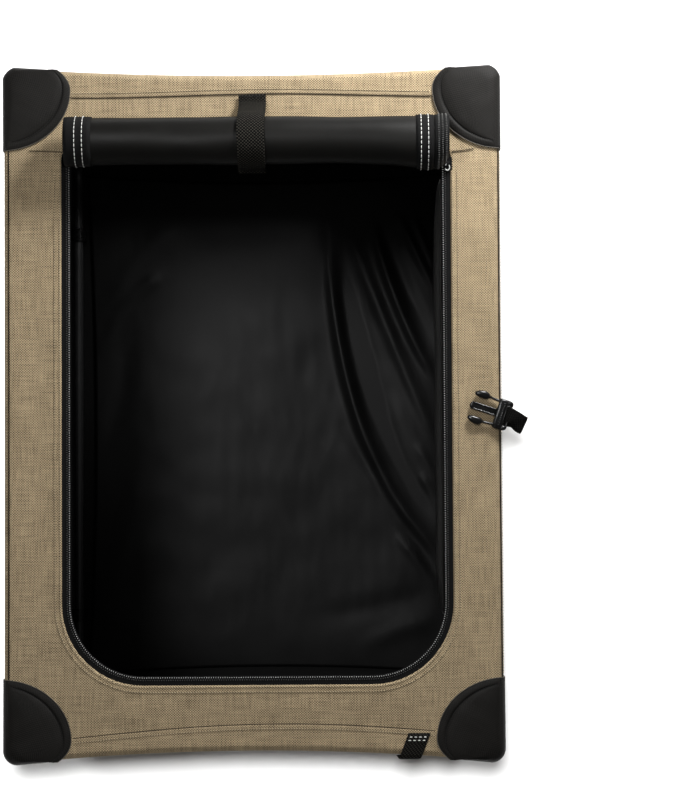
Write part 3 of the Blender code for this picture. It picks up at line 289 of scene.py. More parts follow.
class Form:
    """Points, faces and each face corner's place on the cloth, gathered into one piece."""

    def __init__(self):
        self.points, self.faces, self.places, self.marks = [], [], [], []

    def face(self, corners, places, mark=0):
        self.faces.append(corners)
        self.places.extend(places)
        self.marks.append(mark)

    def grid(self, rows, closed=False, plan=None):
        """A sheet over rows of points. plan turns a point into its place on the cloth."""
        start, width = len(self.points), len(rows[0])
        for row in rows:
            self.points.extend(tuple(point) for point in row)
        across = [0.0]
        for near, far in zip(rows[len(rows) // 2], rows[len(rows) // 2][1:]):
            across.append(across[-1] + (Vector(far) - Vector(near)).length)
        along = [0.0]
        for near, far in zip(rows, rows[1:] + (rows[:1] if closed else [])):
            along.append(along[-1] + (Vector(far[width // 2]) - Vector(near[width // 2])).length)
        for i in range(len(rows) - (0 if closed else 1)):
            for j in range(width - 1):
                spots = ((i, j), (i + 1, j), (i + 1, j + 1), (i, j + 1))
                corners = [start + (a % len(rows)) * width + b for a, b in spots]
                if plan:
                    places = [plan(Vector(self.points[corner])) for corner in corners]
                else:
                    places = [(along[a], across[b]) for a, b in spots]
                self.face(corners, places)
        return self

    def tube(self, rings, mark=0, plan=lambda ring, side: (ring * 0.001, side * 0.001)):
        """Faces round a run of closed rings of points, with a cap at each end."""
        start, sides = len(self.points), len(rings[0])
        for around in rings:
            self.points.extend(tuple(point) for point in around)
        for i in range(len(rings) - 1):
            for j in range(sides):
                spots = ((i, j), (i, j + 1), (i + 1, j + 1), (i + 1, j))
                corners = [start + a * sides + b % sides for a, b in spots]
                self.face(corners, [plan(a, b) for a, b in spots], mark)
        first = list(range(start, start + sides))
        for cap in (first[::-1], [corner + (len(rings) - 1) * sides for corner in first]):
            self.face(cap, [(0, 0)] * sides, mark)
        return self

    def rod(self, path, radius, sides=6, mark=0):
        """A round rod along a path; radius may be one value or one a point."""
        path = [Vector(point) for point in path]
        sizes = radius if isinstance(radius, (list, tuple)) else [radius] * len(path)
        guide, rings = None, []
        for index, (point, size) in enumerate(zip(path, sizes)):
            run = (path[min(index + 1, len(path) - 1)] - path[max(index - 1, 0)]).normalized()
            guide = guide or run.orthogonal().normalized()
            guide = (guide - run * guide.dot(run)).normalized()
            other = run.cross(guide)
            angles = [2 * math.pi * side / sides for side in range(sides)]
            rings.append([point + (guide * math.cos(angle) + other * math.sin(angle)) * size
                          for angle in angles])
        return self.tube(rings, mark)

    def stitch(self, near, far, radius, mark=0):
        """One stitch: a short thread that dives into the cloth at both ends."""
        near, far = Vector(near), Vector(far)
        run = far - near
        shares = (0.0, 0.14, 0.5, 0.86, 1.0)
        sizes = [radius * size for size in (0.3, 0.8, 1.0, 0.8, 0.3)]
        return self.rod([near + run * share for share in shares], sizes, 5, mark=mark)

    def seam(self, path, pitch=0.0030, length=0.0020, radius=0.00042, closed=False, painted_hole_shade=False):
        """A row of stitches along a path, with, when asked, short dark marks between them: painted
        shade in the needle punctures.
        """
        path = [Vector(point) for point in path]
        if closed:
            path.append(path[0])
        runs = [(far - near).length for near, far in zip(path, path[1:])]
        total = sum(runs)
        count = max(int(total / pitch), 1)
        spots = []
        for index in range(count):
            middle = (index + 0.5) * total / count
            half = length / 2 * random.uniform(0.9, 1.08)
            spots.append((middle - half, middle + half))

        def at(distance):
            left = min(max(distance, 0), total)
            for run, near, far in zip(runs, path, path[1:]):
                if left <= run or far is path[-1]:
                    return near.lerp(far, left / max(run, 1e-9))
                left -= run
            return path[-1]

        for low, high in spots:
            self.stitch(at(low), at(high), radius)
        # Painted shade: short dark marks in the gaps, where the needle punctures lie in shade
        if painted_hole_shade:
            for (_, before), (after, _) in zip(spots, spots[1:]):
                middle, half = (before + after) / 2, pitch * 0.17
                self.stitch(at(middle - half), at(middle + half), radius * 0.9, mark=1)
        return self

    def piece(self, name, body, slot, *materials, thickness=0.0, away=INSIDE):
        """Make the object, faced away from a point, on its body. slot is not used."""
        mesh = bpy.data.meshes.new(name)
        mesh.from_pydata(self.points, [], self.faces)
        layer = mesh.uv_layers.new(name="cloth")
        for loop, place in zip(layer.data, self.places):
            loop.uv = place
        if away is not None:
            middle = Vector(away)
            if sum(face.normal.dot(face.center - middle) * face.area
                   for face in mesh.polygons) < 0:
                mesh.flip_normals()
        mesh.polygons.foreach_set("use_smooth", [True] * len(mesh.polygons))
        for material in materials:
            mesh.materials.append(material)
        if any(self.marks):
            mesh.polygons.foreach_set("material_index", self.marks)
        mesh.update()
        item = bpy.data.objects.new(name, mesh)
        bpy.context.scene.collection.objects.link(item)
        if thickness:
            wall = item.modifiers.new("thickness", 'SOLIDIFY')
            wall.thickness, wall.offset = thickness, -1.0
            wall.use_even_offset = False
            if len(materials) > 1:
                wall.material_offset = 1
        if body:
            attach(item, body)
        return item


def clean(item):
    """Weld points that share a place, and drop faces without area."""
    weld = item.modifiers.new("weld", 'WELD')
    weld.merge_threshold = 1e-5
    with bpy.context.temp_override(object=item, active_object=item, selected_objects=[item]):
        bpy.context.view_layer.objects.active = item
        bpy.ops.object.modifier_move_to_index(modifier="weld", index=0)
        bpy.ops.object.modifier_apply(modifier="weld")


def arc(first, sweep, steps, begin=1):
    """Angles of an arc that starts at first and turns through sweep, given in degrees."""
    return [math.radians(first + sweep * step / steps) for step in range(begin, steps + 1)]


def ring(left, front, right, rear, radii, side_sag=0.0, end_sags=(0.0, 0.0)):
    """A rounded rectangle whose sides draw in, from the right side round by the rear.

    radii are the corners' radii: front left, front right, rear right, rear left.
    """
    front_left, front_right, rear_right, rear_left = radii
    points = []

    def edge(start, end, count, pull):
        start, end, pull = Vector(start), Vector(end), Vector(pull)
        for step in range(count):
            share = step / count
            points.append(start.lerp(end, share) + pull * (1 - (2 * share - 1) ** 2))

    def corner(x, y, radius, first):
        for angle in arc(first, 90, CORNER_N, begin=0)[:-1]:
            points.append(Vector((x, y)) + Vector((math.cos(angle), math.sin(angle))) * radius)

    edge((right, front + front_right), (right, rear - rear_right), SIDE_N, (-side_sag, 0))
    corner(right - rear_right, rear - rear_right, rear_right, 0)
    edge((right - rear_right, rear), (left + rear_left, rear), END_N, (0, -end_sags[1]))
    corner(left + rear_left, rear - rear_left, rear_left, 90)
    edge((left, rear - rear_left), (left, front + front_left), SIDE_N, (side_sag, 0))
    corner(left + front_left, front + front_left, front_left, 180)
    edge((left + front_left, front), (right - front_right, front), END_N, (0, end_sags[0]))
    corner(right - front_right, front + front_right, front_right, 270)
    return points


def outline(inset, end_sags):
    """The bands' outer face in plan, or a line some distance inside it."""
    x, y = HALF_X - inset, HALF_Y - inset
    front = max(BAND_CORNER_R - inset, 0.0006)
    rear = max(REAR_CORNER_R - inset, 0.0006) if end_sags == ROOF_SAGS else front
    return ring(-x, -y, x, y, [front, front, rear, rear], SIDE_SAG, end_sags)


def hatch(outset):
    """The roof opening's edge in plan, or a line some distance outside it."""
    front, rear = HATCH_R + outset, max(HATCH_REAR_R + outset, 0.002)
    return ring(HATCH_LEFT - outset, HATCH_FRONT - outset, HATCH_RIGHT + outset,
                HATCH_REAR + outset, [front, front, rear, rear])


def hatch_run(outset, trim=0.0):
    """The U from the opening's rear right corner round the front to the rear left corner."""
    loop = hatch(outset)
    start = 2 * CORNER_N + SIDE_N + END_N
    path = loop[:SIDE_N][::-1] + loop[::-1][:2 * CORNER_N + END_N]
    path += loop[start:start + SIDE_N][::-1]
    return [point for point in path if point.y < HATCH_REAR - 0.010 - trim]


def bump_along(place, near, far, width, height):
    """A soft crease along a line, for a place in plan."""
    near, far = Vector(near), Vector(far)
    run = far - near
    share = (place - near).dot(run) / run.length_squared
    inside = min(max(share, 0), 1)
    away = (place - near.lerp(far, inside)).length
    fade = math.sin(math.pi * min(max(share, 0.02), 0.98)) ** 0.5
    return height * fade * math.exp(-(away / width) ** 2)


# Soft creases on the roof: from, to, half-width and height
ROOF_CREASES = [
    ((0.238, -0.214), (0.262, -0.262), 0.006, -0.0010),
    ((0.246, -0.205), (0.266, -0.240), 0.005, 0.0008),
    ((-0.014, -0.330), (0.086, -0.314), 0.007, 0.0008),
    ((-0.163, -0.330), (-0.124, -0.314), 0.006, 0.0007),
    ((-0.268, 0.200), (-0.262, 0.193), 0.003, -0.0010),
    ((-0.262, 0.10), (-0.250, -0.09), 0.007, 0.0008),
    ((-0.246, 0.24), (-0.232, 0.02), 0.009, -0.0009),
    ((-0.255, -0.10), (-0.236, -0.27), 0.008, 0.0008),
    ((0.242, 0.26), (0.252, 0.05), 0.008, 0.0007),
    ((0.236, 0.02), (0.246, -0.20), 0.007, -0.0006),
    ((-0.19, -0.338), (-0.06, -0.345), 0.006, -0.0007),
    ((0.10, -0.335), (0.19, -0.350), 0.006, -0.0006),
]


def roof_relief(place):
    """How far the taut roof cover stands above or below its plane."""
    soft = noise.noise(Vector((place.x * 14, place.y * 14, 0.3))) * 0.0007
    soft += noise.noise(Vector((place.x * 45, place.y * 45, 1.7))) * 0.00025
    return soft - 0.0004 + sum(bump_along(place, *crease) for crease in ROOF_CREASES) * 0.8


def seam_y(x, rear):
    """Where the rear or front band's top edge lies on the roof."""
    if rear:
        return 0.3473 + 0.0018 * math.sin(x * 16 + 1.2)
    return -0.3572 + 0.0204 * max(math.cos((x - 0.03) * 5.4), 0) ** 1.15


def flat_plan(point):
    """The weave on a roof runs with the roof, and on down its edges."""
    drop = ROOF_TOP - point.z
    across = drop if abs(point.x) > HALF_X - 0.004 else 0
    along = drop if abs(point.y) > HALF_Y - max(ROOF_SAGS) - 0.004 else 0
    return point.x + math.copysign(across, point.x), point.y + math.copysign(along, point.y)


# How the cover's edge lies under the band: inset from the rim and drop below the roof
RIGHT_RIM = [(0.0074, 0.0006), (0.0046, 0.0012), (0.0030, 0.0021), (0.0020, 0.0034),
             (0.0012, 0.0062)]
LEFT_RIM = [(0.0074, 0.0006), (0.0056, 0.0008), (0.0050, 0.0010), (0.0046, 0.0013),
            (0.0042, 0.0018)]
END_RIM = [(0.0080, 0.0008), (0.0065, 0.0012), (0.0050, 0.0018), (0.0040, 0.0024), (0.0030, 0.0030)]


def roof_skin():
    """The roof's top cover, from the opening's turned hem out to the band."""
    inner, outer, edge = hatch(0), outline(0.0115, ROOF_SAGS), outline(0.0, ROOF_SAGS)
    starts = outline(EDGE_R, ROOF_SAGS)
    shares = [0, 0.03, 0.08] + [0.08 + 0.92 * step / 14 for step in range(1, 15)]
    drops = [-0.0009, -0.0001, 0.0001] + [0] * 14
    rows = []
    for near, far, last, start in zip(inner, outer, edge, starts):
        row = []
        for share, drop in zip(shares, drops):
            place = near.lerp(far, share)
            lift = roof_relief(place) * min(1, 8 * share * (1 - share) + 0.15)
            row.append((place.x, place.y, ROOF_TOP - 0.0004 + drop + lift))
        out = (last - start).normalized()
        for depth, drop in (RIGHT_RIM if out.x > 0.7 else LEFT_RIM if out.x < -0.7 else END_RIM):
            place = last - out * depth
            row.append((place.x, place.y, ROOF_TOP - drop))
        rows.append(row)
    skin = Form().grid(rows, closed=True, plan=flat_plan)
    skin = skin.piece("roof_cover", "roof", "tan_fabric", TAN, COATING, thickness=SKIN_T)
    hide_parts("roof_panel")


def roof_band():
    """The band round the roof: over the tube, down the edge and turned in at its hem."""
    rows = []
    for edge, start in zip(outline(0.0, ROOF_SAGS), outline(EDGE_R, ROOF_SAGS)):
        out = (edge - start).normalized()
        side_inset = 0.0052 if edge.x < 0 else 0.0014
        end_inset = abs(edge.y - seam_y(edge.x, edge.y > 0))
        inset = side_inset + (end_inset - side_inset) * abs(out.y) ** 3
        row = []

        def add(depth, height):
            place = edge - out * depth
            relief = roof_relief(place) * 0.5 if depth > 0.011 else 0
            row.append((place.x, place.y, height + relief))

        top = ROOF_TOP + 0.0005
        begin = min(inset, EDGE_R)
        for step, lift in ((0, -0.0008), (0.02, -0.0004), (0.06, -0.0001), (0.13, 0.0001),
                           (0.22, -0.0001), (0.4, 0), (0.6, 0), (0.8, 0)):
            depth = inset + (begin - inset) * step
            if inset > EDGE_R:
                add(depth, top + lift)
            else:
                fall = EDGE_R - math.sqrt(max(EDGE_R ** 2 - (EDGE_R - depth) ** 2, 0))
                add(depth - 0.0002 * step, top - fall + lift * 0.6)
        first = math.asin(1 - begin / EDGE_R)
        for step in range(9):
            angle = first + (math.pi / 2 - first) * step / 8
            add(EDGE_R * (1 - math.sin(angle)), top - EDGE_R * (1 - math.cos(angle)))
        low = ROOF_BAND_LOW
        for share in (0.25, 0.5, 0.75, 0.9, 0.97):
            height = top - EDGE_R + (low - top + EDGE_R) * share
            swell = noise.noise(Vector((edge.x * 20, edge.y * 20, share * 2))) * 0.0006
            add(0.0004 - swell * math.sin(math.pi * share), height)
        add(0.0011, low + 0.0002)
        rows.append(row)
    band = Form().grid(rows, closed=True, plan=flat_plan)
    band = band.piece("roof_edge_band", "roof", "tan_fabric", TAN, COATING, thickness=SKIN_T)
    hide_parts("roof_band")


def roof_seams():
    """The tan stitching: two rows round the opening and one along each band's edge, with painted
    shade: dark marks between stitches and thin dark lines along the band seams and the short corner
    seams.
    """
    thread = Form()
    for outset in (0.0019, 0.0074):
        line = [(p.x, p.y, ROOF_TOP + roof_relief(p) * 0.6 + 0.0001)
                for p in hatch_run(outset, 0.011)]
        thread.seam(line, *HEM_STITCH, painted_hole_shade=True)
    for rear in (False, True):
        shift = 0.0052 if rear else -0.0052
        line = []
        for step in range(61):
            x = -0.196 + 0.392 * step / 60
            place = Vector((x, seam_y(x, rear) + shift))
            line.append((x, place.y, ROOF_TOP + 0.0009 + roof_relief(place) * 0.5))
        thread.seam(line, *BAND_STITCH, painted_hole_shade=True)
        # A thin dark tan line along the seam: painted shade of its crease
        painted_seam_shade = [(x, seam_y(x, rear) + shift * 0.02, z - 0.0008) for x, _, z in line]
        thread.rod(painted_seam_shade, 0.00050, 5, mark=1)
    steps = [-0.285 + 0.570 * step / 60 for step in range(61)]
    for x, drop in ((0.0036 - HALF_X, 0.0004), (HALF_X + 0.0004, 0.0105)):
        thread.seam([(x, y, ROOF_TOP - drop) for y in steps], *EDGE_STITCH, painted_hole_shade=True)
    for x_near, x_far, y_near, y_far in ((-0.243, -0.207, 0.2895, 0.2880),
                                         (0.219, 0.243, 0.2860, 0.2890)):
        ends = [(x_near, y_near, ROOF_TOP + 0.0002), (x_far, y_far, ROOF_TOP + 0.0002)]
        thread.seam(ends, 0.0026, 0.0016, 0.00034, painted_hole_shade=True)
        # A thin dark tan line beside each short seam: painted shade of its crease
        painted_seam_shade = [(x, y - 0.0016, z) for x, y, z in ends]
        thread.rod(painted_seam_shade, 0.00042, 5, mark=1)
    thread.piece("roof_stitching", "roof", "tan_fabric", TAN_THREAD, TAN_PAINTED_SHADE, away=None)


# Corner patches: the free edge's radius at the end, the hem's width and the samples across it
PATCH_END_R = 0.0385
HEM_IN = 0.0098
HEM_MARKS = [0, 0.0008, 0.0030, 0.0060, *(HEM_IN + step * 0.0009 for step in (-2, -1, 0, 1, 2))]


def patch_curve(share):
    """A corner patch's free edge in plan, from the side edge round to the end edge."""
    middle = Vector((HALF_X + 0.0018, HALF_Y + 0.0018 - 0.027))
    split = 0.76
    if share <= split:
        angle = math.radians(90 * share / split)
        return middle + Vector((-0.075 * math.sin(angle), -0.066 * math.cos(angle)))
    angle = math.asin(0.027 / PATCH_END_R) * (share - split) / (1 - split)
    return middle + Vector((-0.075 * math.cos(angle), PATCH_END_R * math.sin(angle)))


def patch_rim(share, start_y, end_x, end_sag, chamfer, radius):
    """The patch's outer edge in plan, along the band's face and round its corner."""
    x, y = HALF_X + 0.0017, HALF_Y + 0.0017
    side, end = y - radius - start_y, x - radius - end_x
    bend = radius * math.pi / 2
    at = share * (side + bend + end)

    def pull_x(along):
        return SIDE_SAG * (1 - (along / (y - radius)) ** 2)

    def pull_y(along):
        return end_sag * (1 - (along / (x - radius)) ** 2)

    if at < side:
        along = start_y + at
        return Vector((x - pull_x(along), along)), Vector((1, 0))
    if at > side + bend:
        along = x - radius - (at - side - bend)
        return Vector((along, y - pull_y(along))), Vector((0, 1))
    angle = (at - side) / radius
    out = Vector((math.cos(angle), math.sin(angle)))
    place = Vector((x - radius, y - radius)) + out * radius
    chord = Vector((x, y - radius)).lerp(Vector((x - radius, y)), (at - side) / bend)
    return place.lerp(chord, chamfer), out


def corner_patch(side, end, upper):
    """A puffed leaf of black cloth over a corner, with a hem, wrapped down the band."""
    chamfer = 0.4 if upper and end > 0 else 0.0
    corner_r = 0.0155 if upper and end < 0 else 0.0125
    end_sag = (ROOF_SAGS if upper else BASE_SAGS)[0 if end < 0 else 1]
    top = PATCH_TOP - 0.0006 if upper else BASE_BAND_TOP
    low = ROOF_BAND_LOW - 0.0004 if upper else 0.0
    first, last = patch_curve(0), patch_curve(1)
    edge_r = EDGE_R + 0.0012
    rows, hem_line, free_line = [], [], []
    count = 44
    for index in range(count + 1):
        share = index / count
        rim, out = patch_rim(share, first.y, last.x, end_sag, chamfer, corner_r)
        row = []
        if upper:
            free = patch_curve(share)
            if (rim - free).dot(out) < 0.0004:
                free = rim - out * 0.0004
            span = rim - free
            depth = span.length
            inward = span.normalized()
            begin = min(depth, edge_r)
            start = math.asin(max(1 - begin / edge_r, 0))
            base = top - edge_r * (1 - math.cos(start))
            swell = math.sin(math.pi * share) ** 0.8
            limit = depth - begin
            near_hem = [mark * min(1, limit / (HEM_IN + 0.0050)) for mark in HEM_MARKS]
            beyond = [near_hem[-1] + (limit - near_hem[-1]) * part / 6 for part in range(1, 7)]
            for along in near_hem + beyond:
                place = free + inward * along
                rounded = -0.0009 * math.exp(-(along / 0.0009) ** 2)
                groove = -0.0016 * math.exp(-((along - HEM_IN) / 0.0009) ** 2)
                hem = 0.0006 * math.exp(-((along - HEM_IN / 2) / 0.0042) ** 2)
                puff = 0.0030 * math.sin(math.pi * min(along / depth, 1)) ** 1.3
                wave = noise.noise(Vector((place.x * side * 55, place.y * end * 55, 4))) * 0.0007
                row.append((place, base + (hem + groove + rounded + puff + wave) * swell))
            for step in range(1, 8):
                angle = start + (math.pi / 2 - start) * step / 7
                inset = edge_r * (1 - math.sin(angle))
                toward = inward.lerp(out, step / 7).normalized() if depth > edge_r else out
                row.append((rim - toward * inset, top - edge_r * (1 - math.cos(angle))))
            heights = [top - edge_r + (low - top + edge_r) * part for part in (0.3, 0.6, 0.85, 1)]
            inward_line = [(0.0, height) for height in heights]
            free_line.append((free, base + 0.0002))
            if depth > HEM_IN + begin and 0.04 < share < 0.96:
                lift = 0.0030 * math.sin(math.pi * HEM_IN / depth) ** 1.3 - 0.0009
                hem_line.append((free + inward * HEM_IN, base + lift * swell))
        else:
            inward_line = [(0.0050, 0.0001), (0.0022, 0.0008), (0.0006, 0.0030), (0, 0.0065),
                           (0, 0.014), (0, 0.024), (0.0001, top)]
        for inset, height in inward_line:
            place = rim - out * inset
            row.append((place, height))
        rows.append([(side * place.x, end * place.y, height) for place, height in row])
    name = f"corner_patch_{'front' if end < 0 else 'rear'}_{'left' if side < 0 else 'right'}"
    level = "roof" if upper else "base"
    form = Form().grid(rows)
    inside = (side * (HALF_X - 0.06), end * (HALF_Y - 0.06), 0.50 if upper else 0.06)
    patch = form.piece(f"{level}_cover_{name}", level, "black_fabric", BLACK_CLOTH,
                       thickness=0.0009, away=inside)
    clean(patch)
    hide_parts(f"{level}_{name}")
    if upper:
        hem = Form().seam([(side * p.x, end * p.y, z) for p, z in hem_line], 0.0027, 0.0021,
                          0.00036)
        hem.piece(f"{level}_hem_stitches_{name}", level, "black_fabric", BLACK_THREAD, away=None)
        # A pale rod along the patch's free edge: a painted highlight of its rounded edge
        edge = Form().rod([(side * p.x, end * p.y, z - 0.0004) for p, z in free_line], 0.00042, 5)
        edge.piece(f"{level}_hem_edge_{name}", level, "black_fabric", PALE_EDGE_HIGHLIGHT, away=None)


def base_cover():
    """The band round the base, turned under at the bottom, and the sheet it is sewn to."""
    rows = []
    heights = [(0.0080, 0.0002), (0.0045, 0.0004), (0.0018, 0.0016), (0.0004, 0.0042), (0, 0.0080),
               (0, 0.0140), (0, 0.0210), (0.0002, 0.0280), (0.0004, BASE_BAND_TOP - 0.0012),
               (0.0009, BASE_BAND_TOP)]
    outer, starts = outline(0.0, BASE_SAGS), outline(EDGE_R, BASE_SAGS)
    for edge, start in zip(outer, starts):
        out = (edge - start).normalized()
        row = []
        for inset, height in heights:
            swell = noise.noise(Vector((edge.x * 18, edge.y * 18, height * 60))) * 0.0006
            place = edge - out * (inset - swell * math.sin(math.pi * height / BASE_BAND_TOP))
            row.append((place.x, place.y, height + 0.0001))
        rows.append(row)
    band = Form().grid(rows, closed=True)
    band = band.piece("base_edge_band", "base", "tan_fabric", TAN, COATING, thickness=SKIN_T)
    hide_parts("base_band")
    floor = outline(0.0045, BASE_SAGS)
    rows = []
    for point in floor:
        rows.append([(point.x * share, point.y * share, 0.0014) for share in
                     [1 - step / 12 for step in range(12)] + [0.004]])
    sheet = Form().grid(rows, closed=True, plan=lambda p: (p.x, p.y))
    sheet = sheet.piece("base_underside", "base", "black_nylon", COATING, thickness=0.0006)
    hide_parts("base_sheet")
    thread = Form()
    loop = [(p.x, p.y, BASE_BAND_TOP - 0.0045) for p in outline(-0.0001, BASE_SAGS)]
    thread.seam(loop, 0.0034, 0.0024, 0.00025, closed=True)
    thread.piece("base_stitching", "base", "tan_fabric", TAN_THREAD, away=None)


roof_skin()
roof_band()
roof_seams()
base_cover()
for side_sign in (-1, 1):
    for end_sign in (-1, 1):
        corner_patch(side_sign, end_sign, True)
        corner_patch(side_sign, end_sign, False)


def resample(path, pitch):
    """Evenly spaced places along a path, each with the path's direction there."""
    path = [Vector(point) for point in path]
    spots, left = [], pitch / 2
    for near, far in zip(path, path[1:]):
        run = (far - near).length
        while left <= run and run > 0:
            spots.append((near.lerp(far, left / run), (far - near) / run))
            left += pitch
        left -= run
    return spots


def add_coil(form, path, normal, width, pitch, radius):
    """A zip's coil: its ribs show as two columns of short arches, set half a pitch apart."""
    normal = Vector(normal)
    for place, run in resample(path, pitch):
        across = normal.cross(run).normalized() * width / 2
        for side, shift in ((-1, 0.0), (1, pitch / 2)):
            near = place + across * side * 0.40 + run * shift
            far = place + across * side * 0.98 + run * shift
            crown = near.lerp(far, 0.5) + normal * radius * 1.1
            # The second column takes the piece's second material; on the roof zip that is the
            # darker copy, painted shade
            form.rod([near, crown, far], [radius * 0.6, radius, radius * 0.7], 5,
                     mark=0 if side < 0 else 1)
    return form


def roof_zip():
    """The U-shaped zip: its tape under the hem and the coil along the tape's free edge."""
    outer, inner = hatch_run(0.0075), hatch_run(-0.0098)
    steps = min(len(outer), len(inner))
    rows = []
    for far, near in zip(outer[:steps], inner[:steps]):
        row = []
        for share in (0, 0.2, 0.4, 0.5, 0.6, 0.75, 0.9, 1.0):
            place = far.lerp(near, share)
            droop = -0.0008 * max(0, share - 0.45) * 2
            row.append((place.x, place.y, ROOF_TOP - 0.0020 + droop))
        rows.append(row)
    tape = Form().grid(rows)
    tape = tape.piece("roof_zip_tape", "roof", "zipper", ZIP_TAPE, thickness=0.0006)
    line = [(p.x, p.y, ROOF_TOP - 0.0023) for p in hatch_run(-0.0068, 0.004)]
    coil = add_coil(Form(), line, (0, 0, 1), 0.0036, 0.0025, 0.00052)
    coil = coil.piece("roof_zip_coil", "roof", "zipper", COIL, COIL_PAINTED_SHADE, away=None)
    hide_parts("roof_zipper")


def roll_flap():
    """The nylon facing inside the opening's right edge: a narrow strip that hangs from the tape."""
    rows, steps = [], 90
    for step in range(steps + 1):
        share = step / steps
        y = 0.255 - 0.475 * share
        depth = 0.0068 * min(1, 9 * share, 9 * (1 - share)) ** 0.5 + 0.0006
        x = HATCH_RIGHT - 0.0100
        row = []
        for part in range(9):
            across = part / 8
            roll = 0.0010 * math.exp(-((across - 0.62) / 0.16) ** 2)
            row.append((x - depth * across + 0.0004 * math.sin(share * 19),
                        y, ROOF_TOP - 0.0042 - 0.0170 * across ** 1.5 + roll))
        rows.append(row)
    flap = Form().grid(rows)
    flap = flap.piece("roof_opening_facing", "roof", "black_nylon", ROLL_NYLON, thickness=0.0007)


# The rolled door: its ends, outer radius, width for its height, middle, turns and step a turn
ROLL_X0, ROLL_X1 = ROLL_LOW.x, ROLL_HIGH.x
ROLL_R = (ROLL_HIGH.y - ROLL_LOW.y) / 2 + 0.0005
ROLL_SPREAD = 1.23
ROLL_Y = (ROLL_HIGH.y + ROLL_LOW.y) / 2 - 0.0050
ROLL_Z = ROOF_TOP + 0.0004 + ROLL_R
ROLL_TURNS = 6.3
ROLL_STEP = 0.0031


def roll_radius(turns, x):
    """The rolled door's radius, a little slack and uneven along its length."""
    uneven = noise.noise(Vector((x * 16, math.cos(turns * 6.283) * 0.9,
                                 math.sin(turns * 6.283) * 0.9))) * 0.0011
    sag = 0.0006 * math.cos(x * 24)
    return ROLL_R - ROLL_STEP * turns + (uneven + sag) * max(0, 1 - turns / 2)


def roll_place(turns, radius, x):
    """A turn's place. The roll is flatter than round, its right part slumps forward, and the
    front of its right end is drawn back.
    """
    angle = math.radians(-95) - 2 * math.pi * turns
    slump = min(max((x - 0.080) / 0.100, 0), 1) ** 2
    drawn = min(max((x - 0.1975) / 0.0165, 0), 1) ** 2 * max(-math.cos(angle), 0)
    across = radius * math.cos(angle) * (ROLL_SPREAD + 0.13 * slump)
    return (ROLL_Y - 0.0026 * slump + 0.0125 * drawn * radius / ROLL_R + across,
            ROLL_Z + radius * math.sin(angle))


def roll_line(x, first, last, lift=0.0):
    """Places round the roll at one x, over a span of fortieths of a turn."""
    return [(x, *roll_place(step / 40, roll_radius(step / 40, x) + lift, x))
            for step in range(first, last)]


def door_roll():
    """The roof door rolled up from its front edge, showing its lining and its zipped border."""
    rows = []
    for column in range(73):
        x = ROLL_X0 + (ROLL_X1 - ROLL_X0) * column / 72
        line = roll_line(x, 0, int(ROLL_TURNS * 40) + 1)
        rows.append([(x + 0.0010 * math.sin(step / 10) * (column in (0, 72)), y, z)
                     for step, (_, y, z) in enumerate(line)])
    middle = (0, ROLL_Y, ROLL_Z)
    roll = Form().grid(rows)
    roll = roll.piece("rolled_roof_door", "roof", "black_nylon", ROLL_NYLON, thickness=0.0011,
                      away=middle)
    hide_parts("door_roll")
    bands, seams, ribs = Form(), Form(), Form()
    for x0, x1, stitch_xs in ((ROLL_X0 - 0.0004, -0.1716, (-0.1890, -0.1808)),
                              (0.1790, 0.1980, (0.1842, 0.1920)),
                              (0.1986, ROLL_X1 + 0.0015, ())):
        bands.grid([roll_line(x0 + (x1 - x0) * part / 6, 0, 49,
                              0.0008 if part in (0, 6) else 0.0012) for part in range(7)])
        for x in stitch_xs:
            seams.seam(roll_line(x, 4, 44, 0.0016), 0.0050, 0.0040, 0.00050)
        if not stitch_xs:
            half = Vector((0.0010, 0, 0))
            for shift in (0.0045, 0.0085, 0.0125):
                for place, _ in resample(roll_line(x0 + shift, 2, 46, 0.0015), 0.0021):
                    ribs.rod([place - half, place + half], 0.0005, 5)
    border = bands.piece("rolled_door_border", "roof", "zipper", ZIP_TAPE, thickness=0.0007,
                         away=middle)
    stitches = seams.piece("rolled_door_stitching", "roof", "black_fabric", WHITE_THREAD, away=None)
    coil = ribs.piece("rolled_door_coil", "roof", "zipper", COIL_PAINTED_SHADE, away=None)


def strap_form(stations, width, thick, widths=None):
    """Webbing with rounded edges along stations of (middle, across, up).

    widths, where given, is the width at each station, for webbing that bunches.
    """
    rings, along = [], [0.0]
    shares = [step / 4 - 1 for step in range(9)]
    for station, (middle, across, up) in enumerate(stations):
        half = (widths[station] if widths else width) / 2
        middle, across, up = Vector(middle), Vector(across).normalized(), Vector(up).normalized()
        rings.append([middle + across * share * half + up * side * thick / 2 * (1 - share ** 8)
                      for side, run in ((1, shares), (-1, shares[::-1])) for share in run])
    for near, far in zip(stations, stations[1:]):
        along.append(along[-1] + (Vector(far[0]) - Vector(near[0])).length)

    def plan(ring, side):
        return (side / 8 if side < 9 else 2 - (side - 1) / 8) * width, along[ring]

    return Form().tube(rings, plan=plan)


def turned(stations):
    """Stations with their up direction worked out from the path and the across direction."""
    found = []
    for index, (middle, across) in enumerate(stations):
        before = Vector(stations[max(index - 1, 0)][0])
        after = Vector(stations[min(index + 1, len(stations) - 1)][0])
        run = (after - before).normalized()
        across = Vector(across)
        across = (across - run * across.dot(run)).normalized()
        found.append((middle, across, across.cross(run)))
    return found


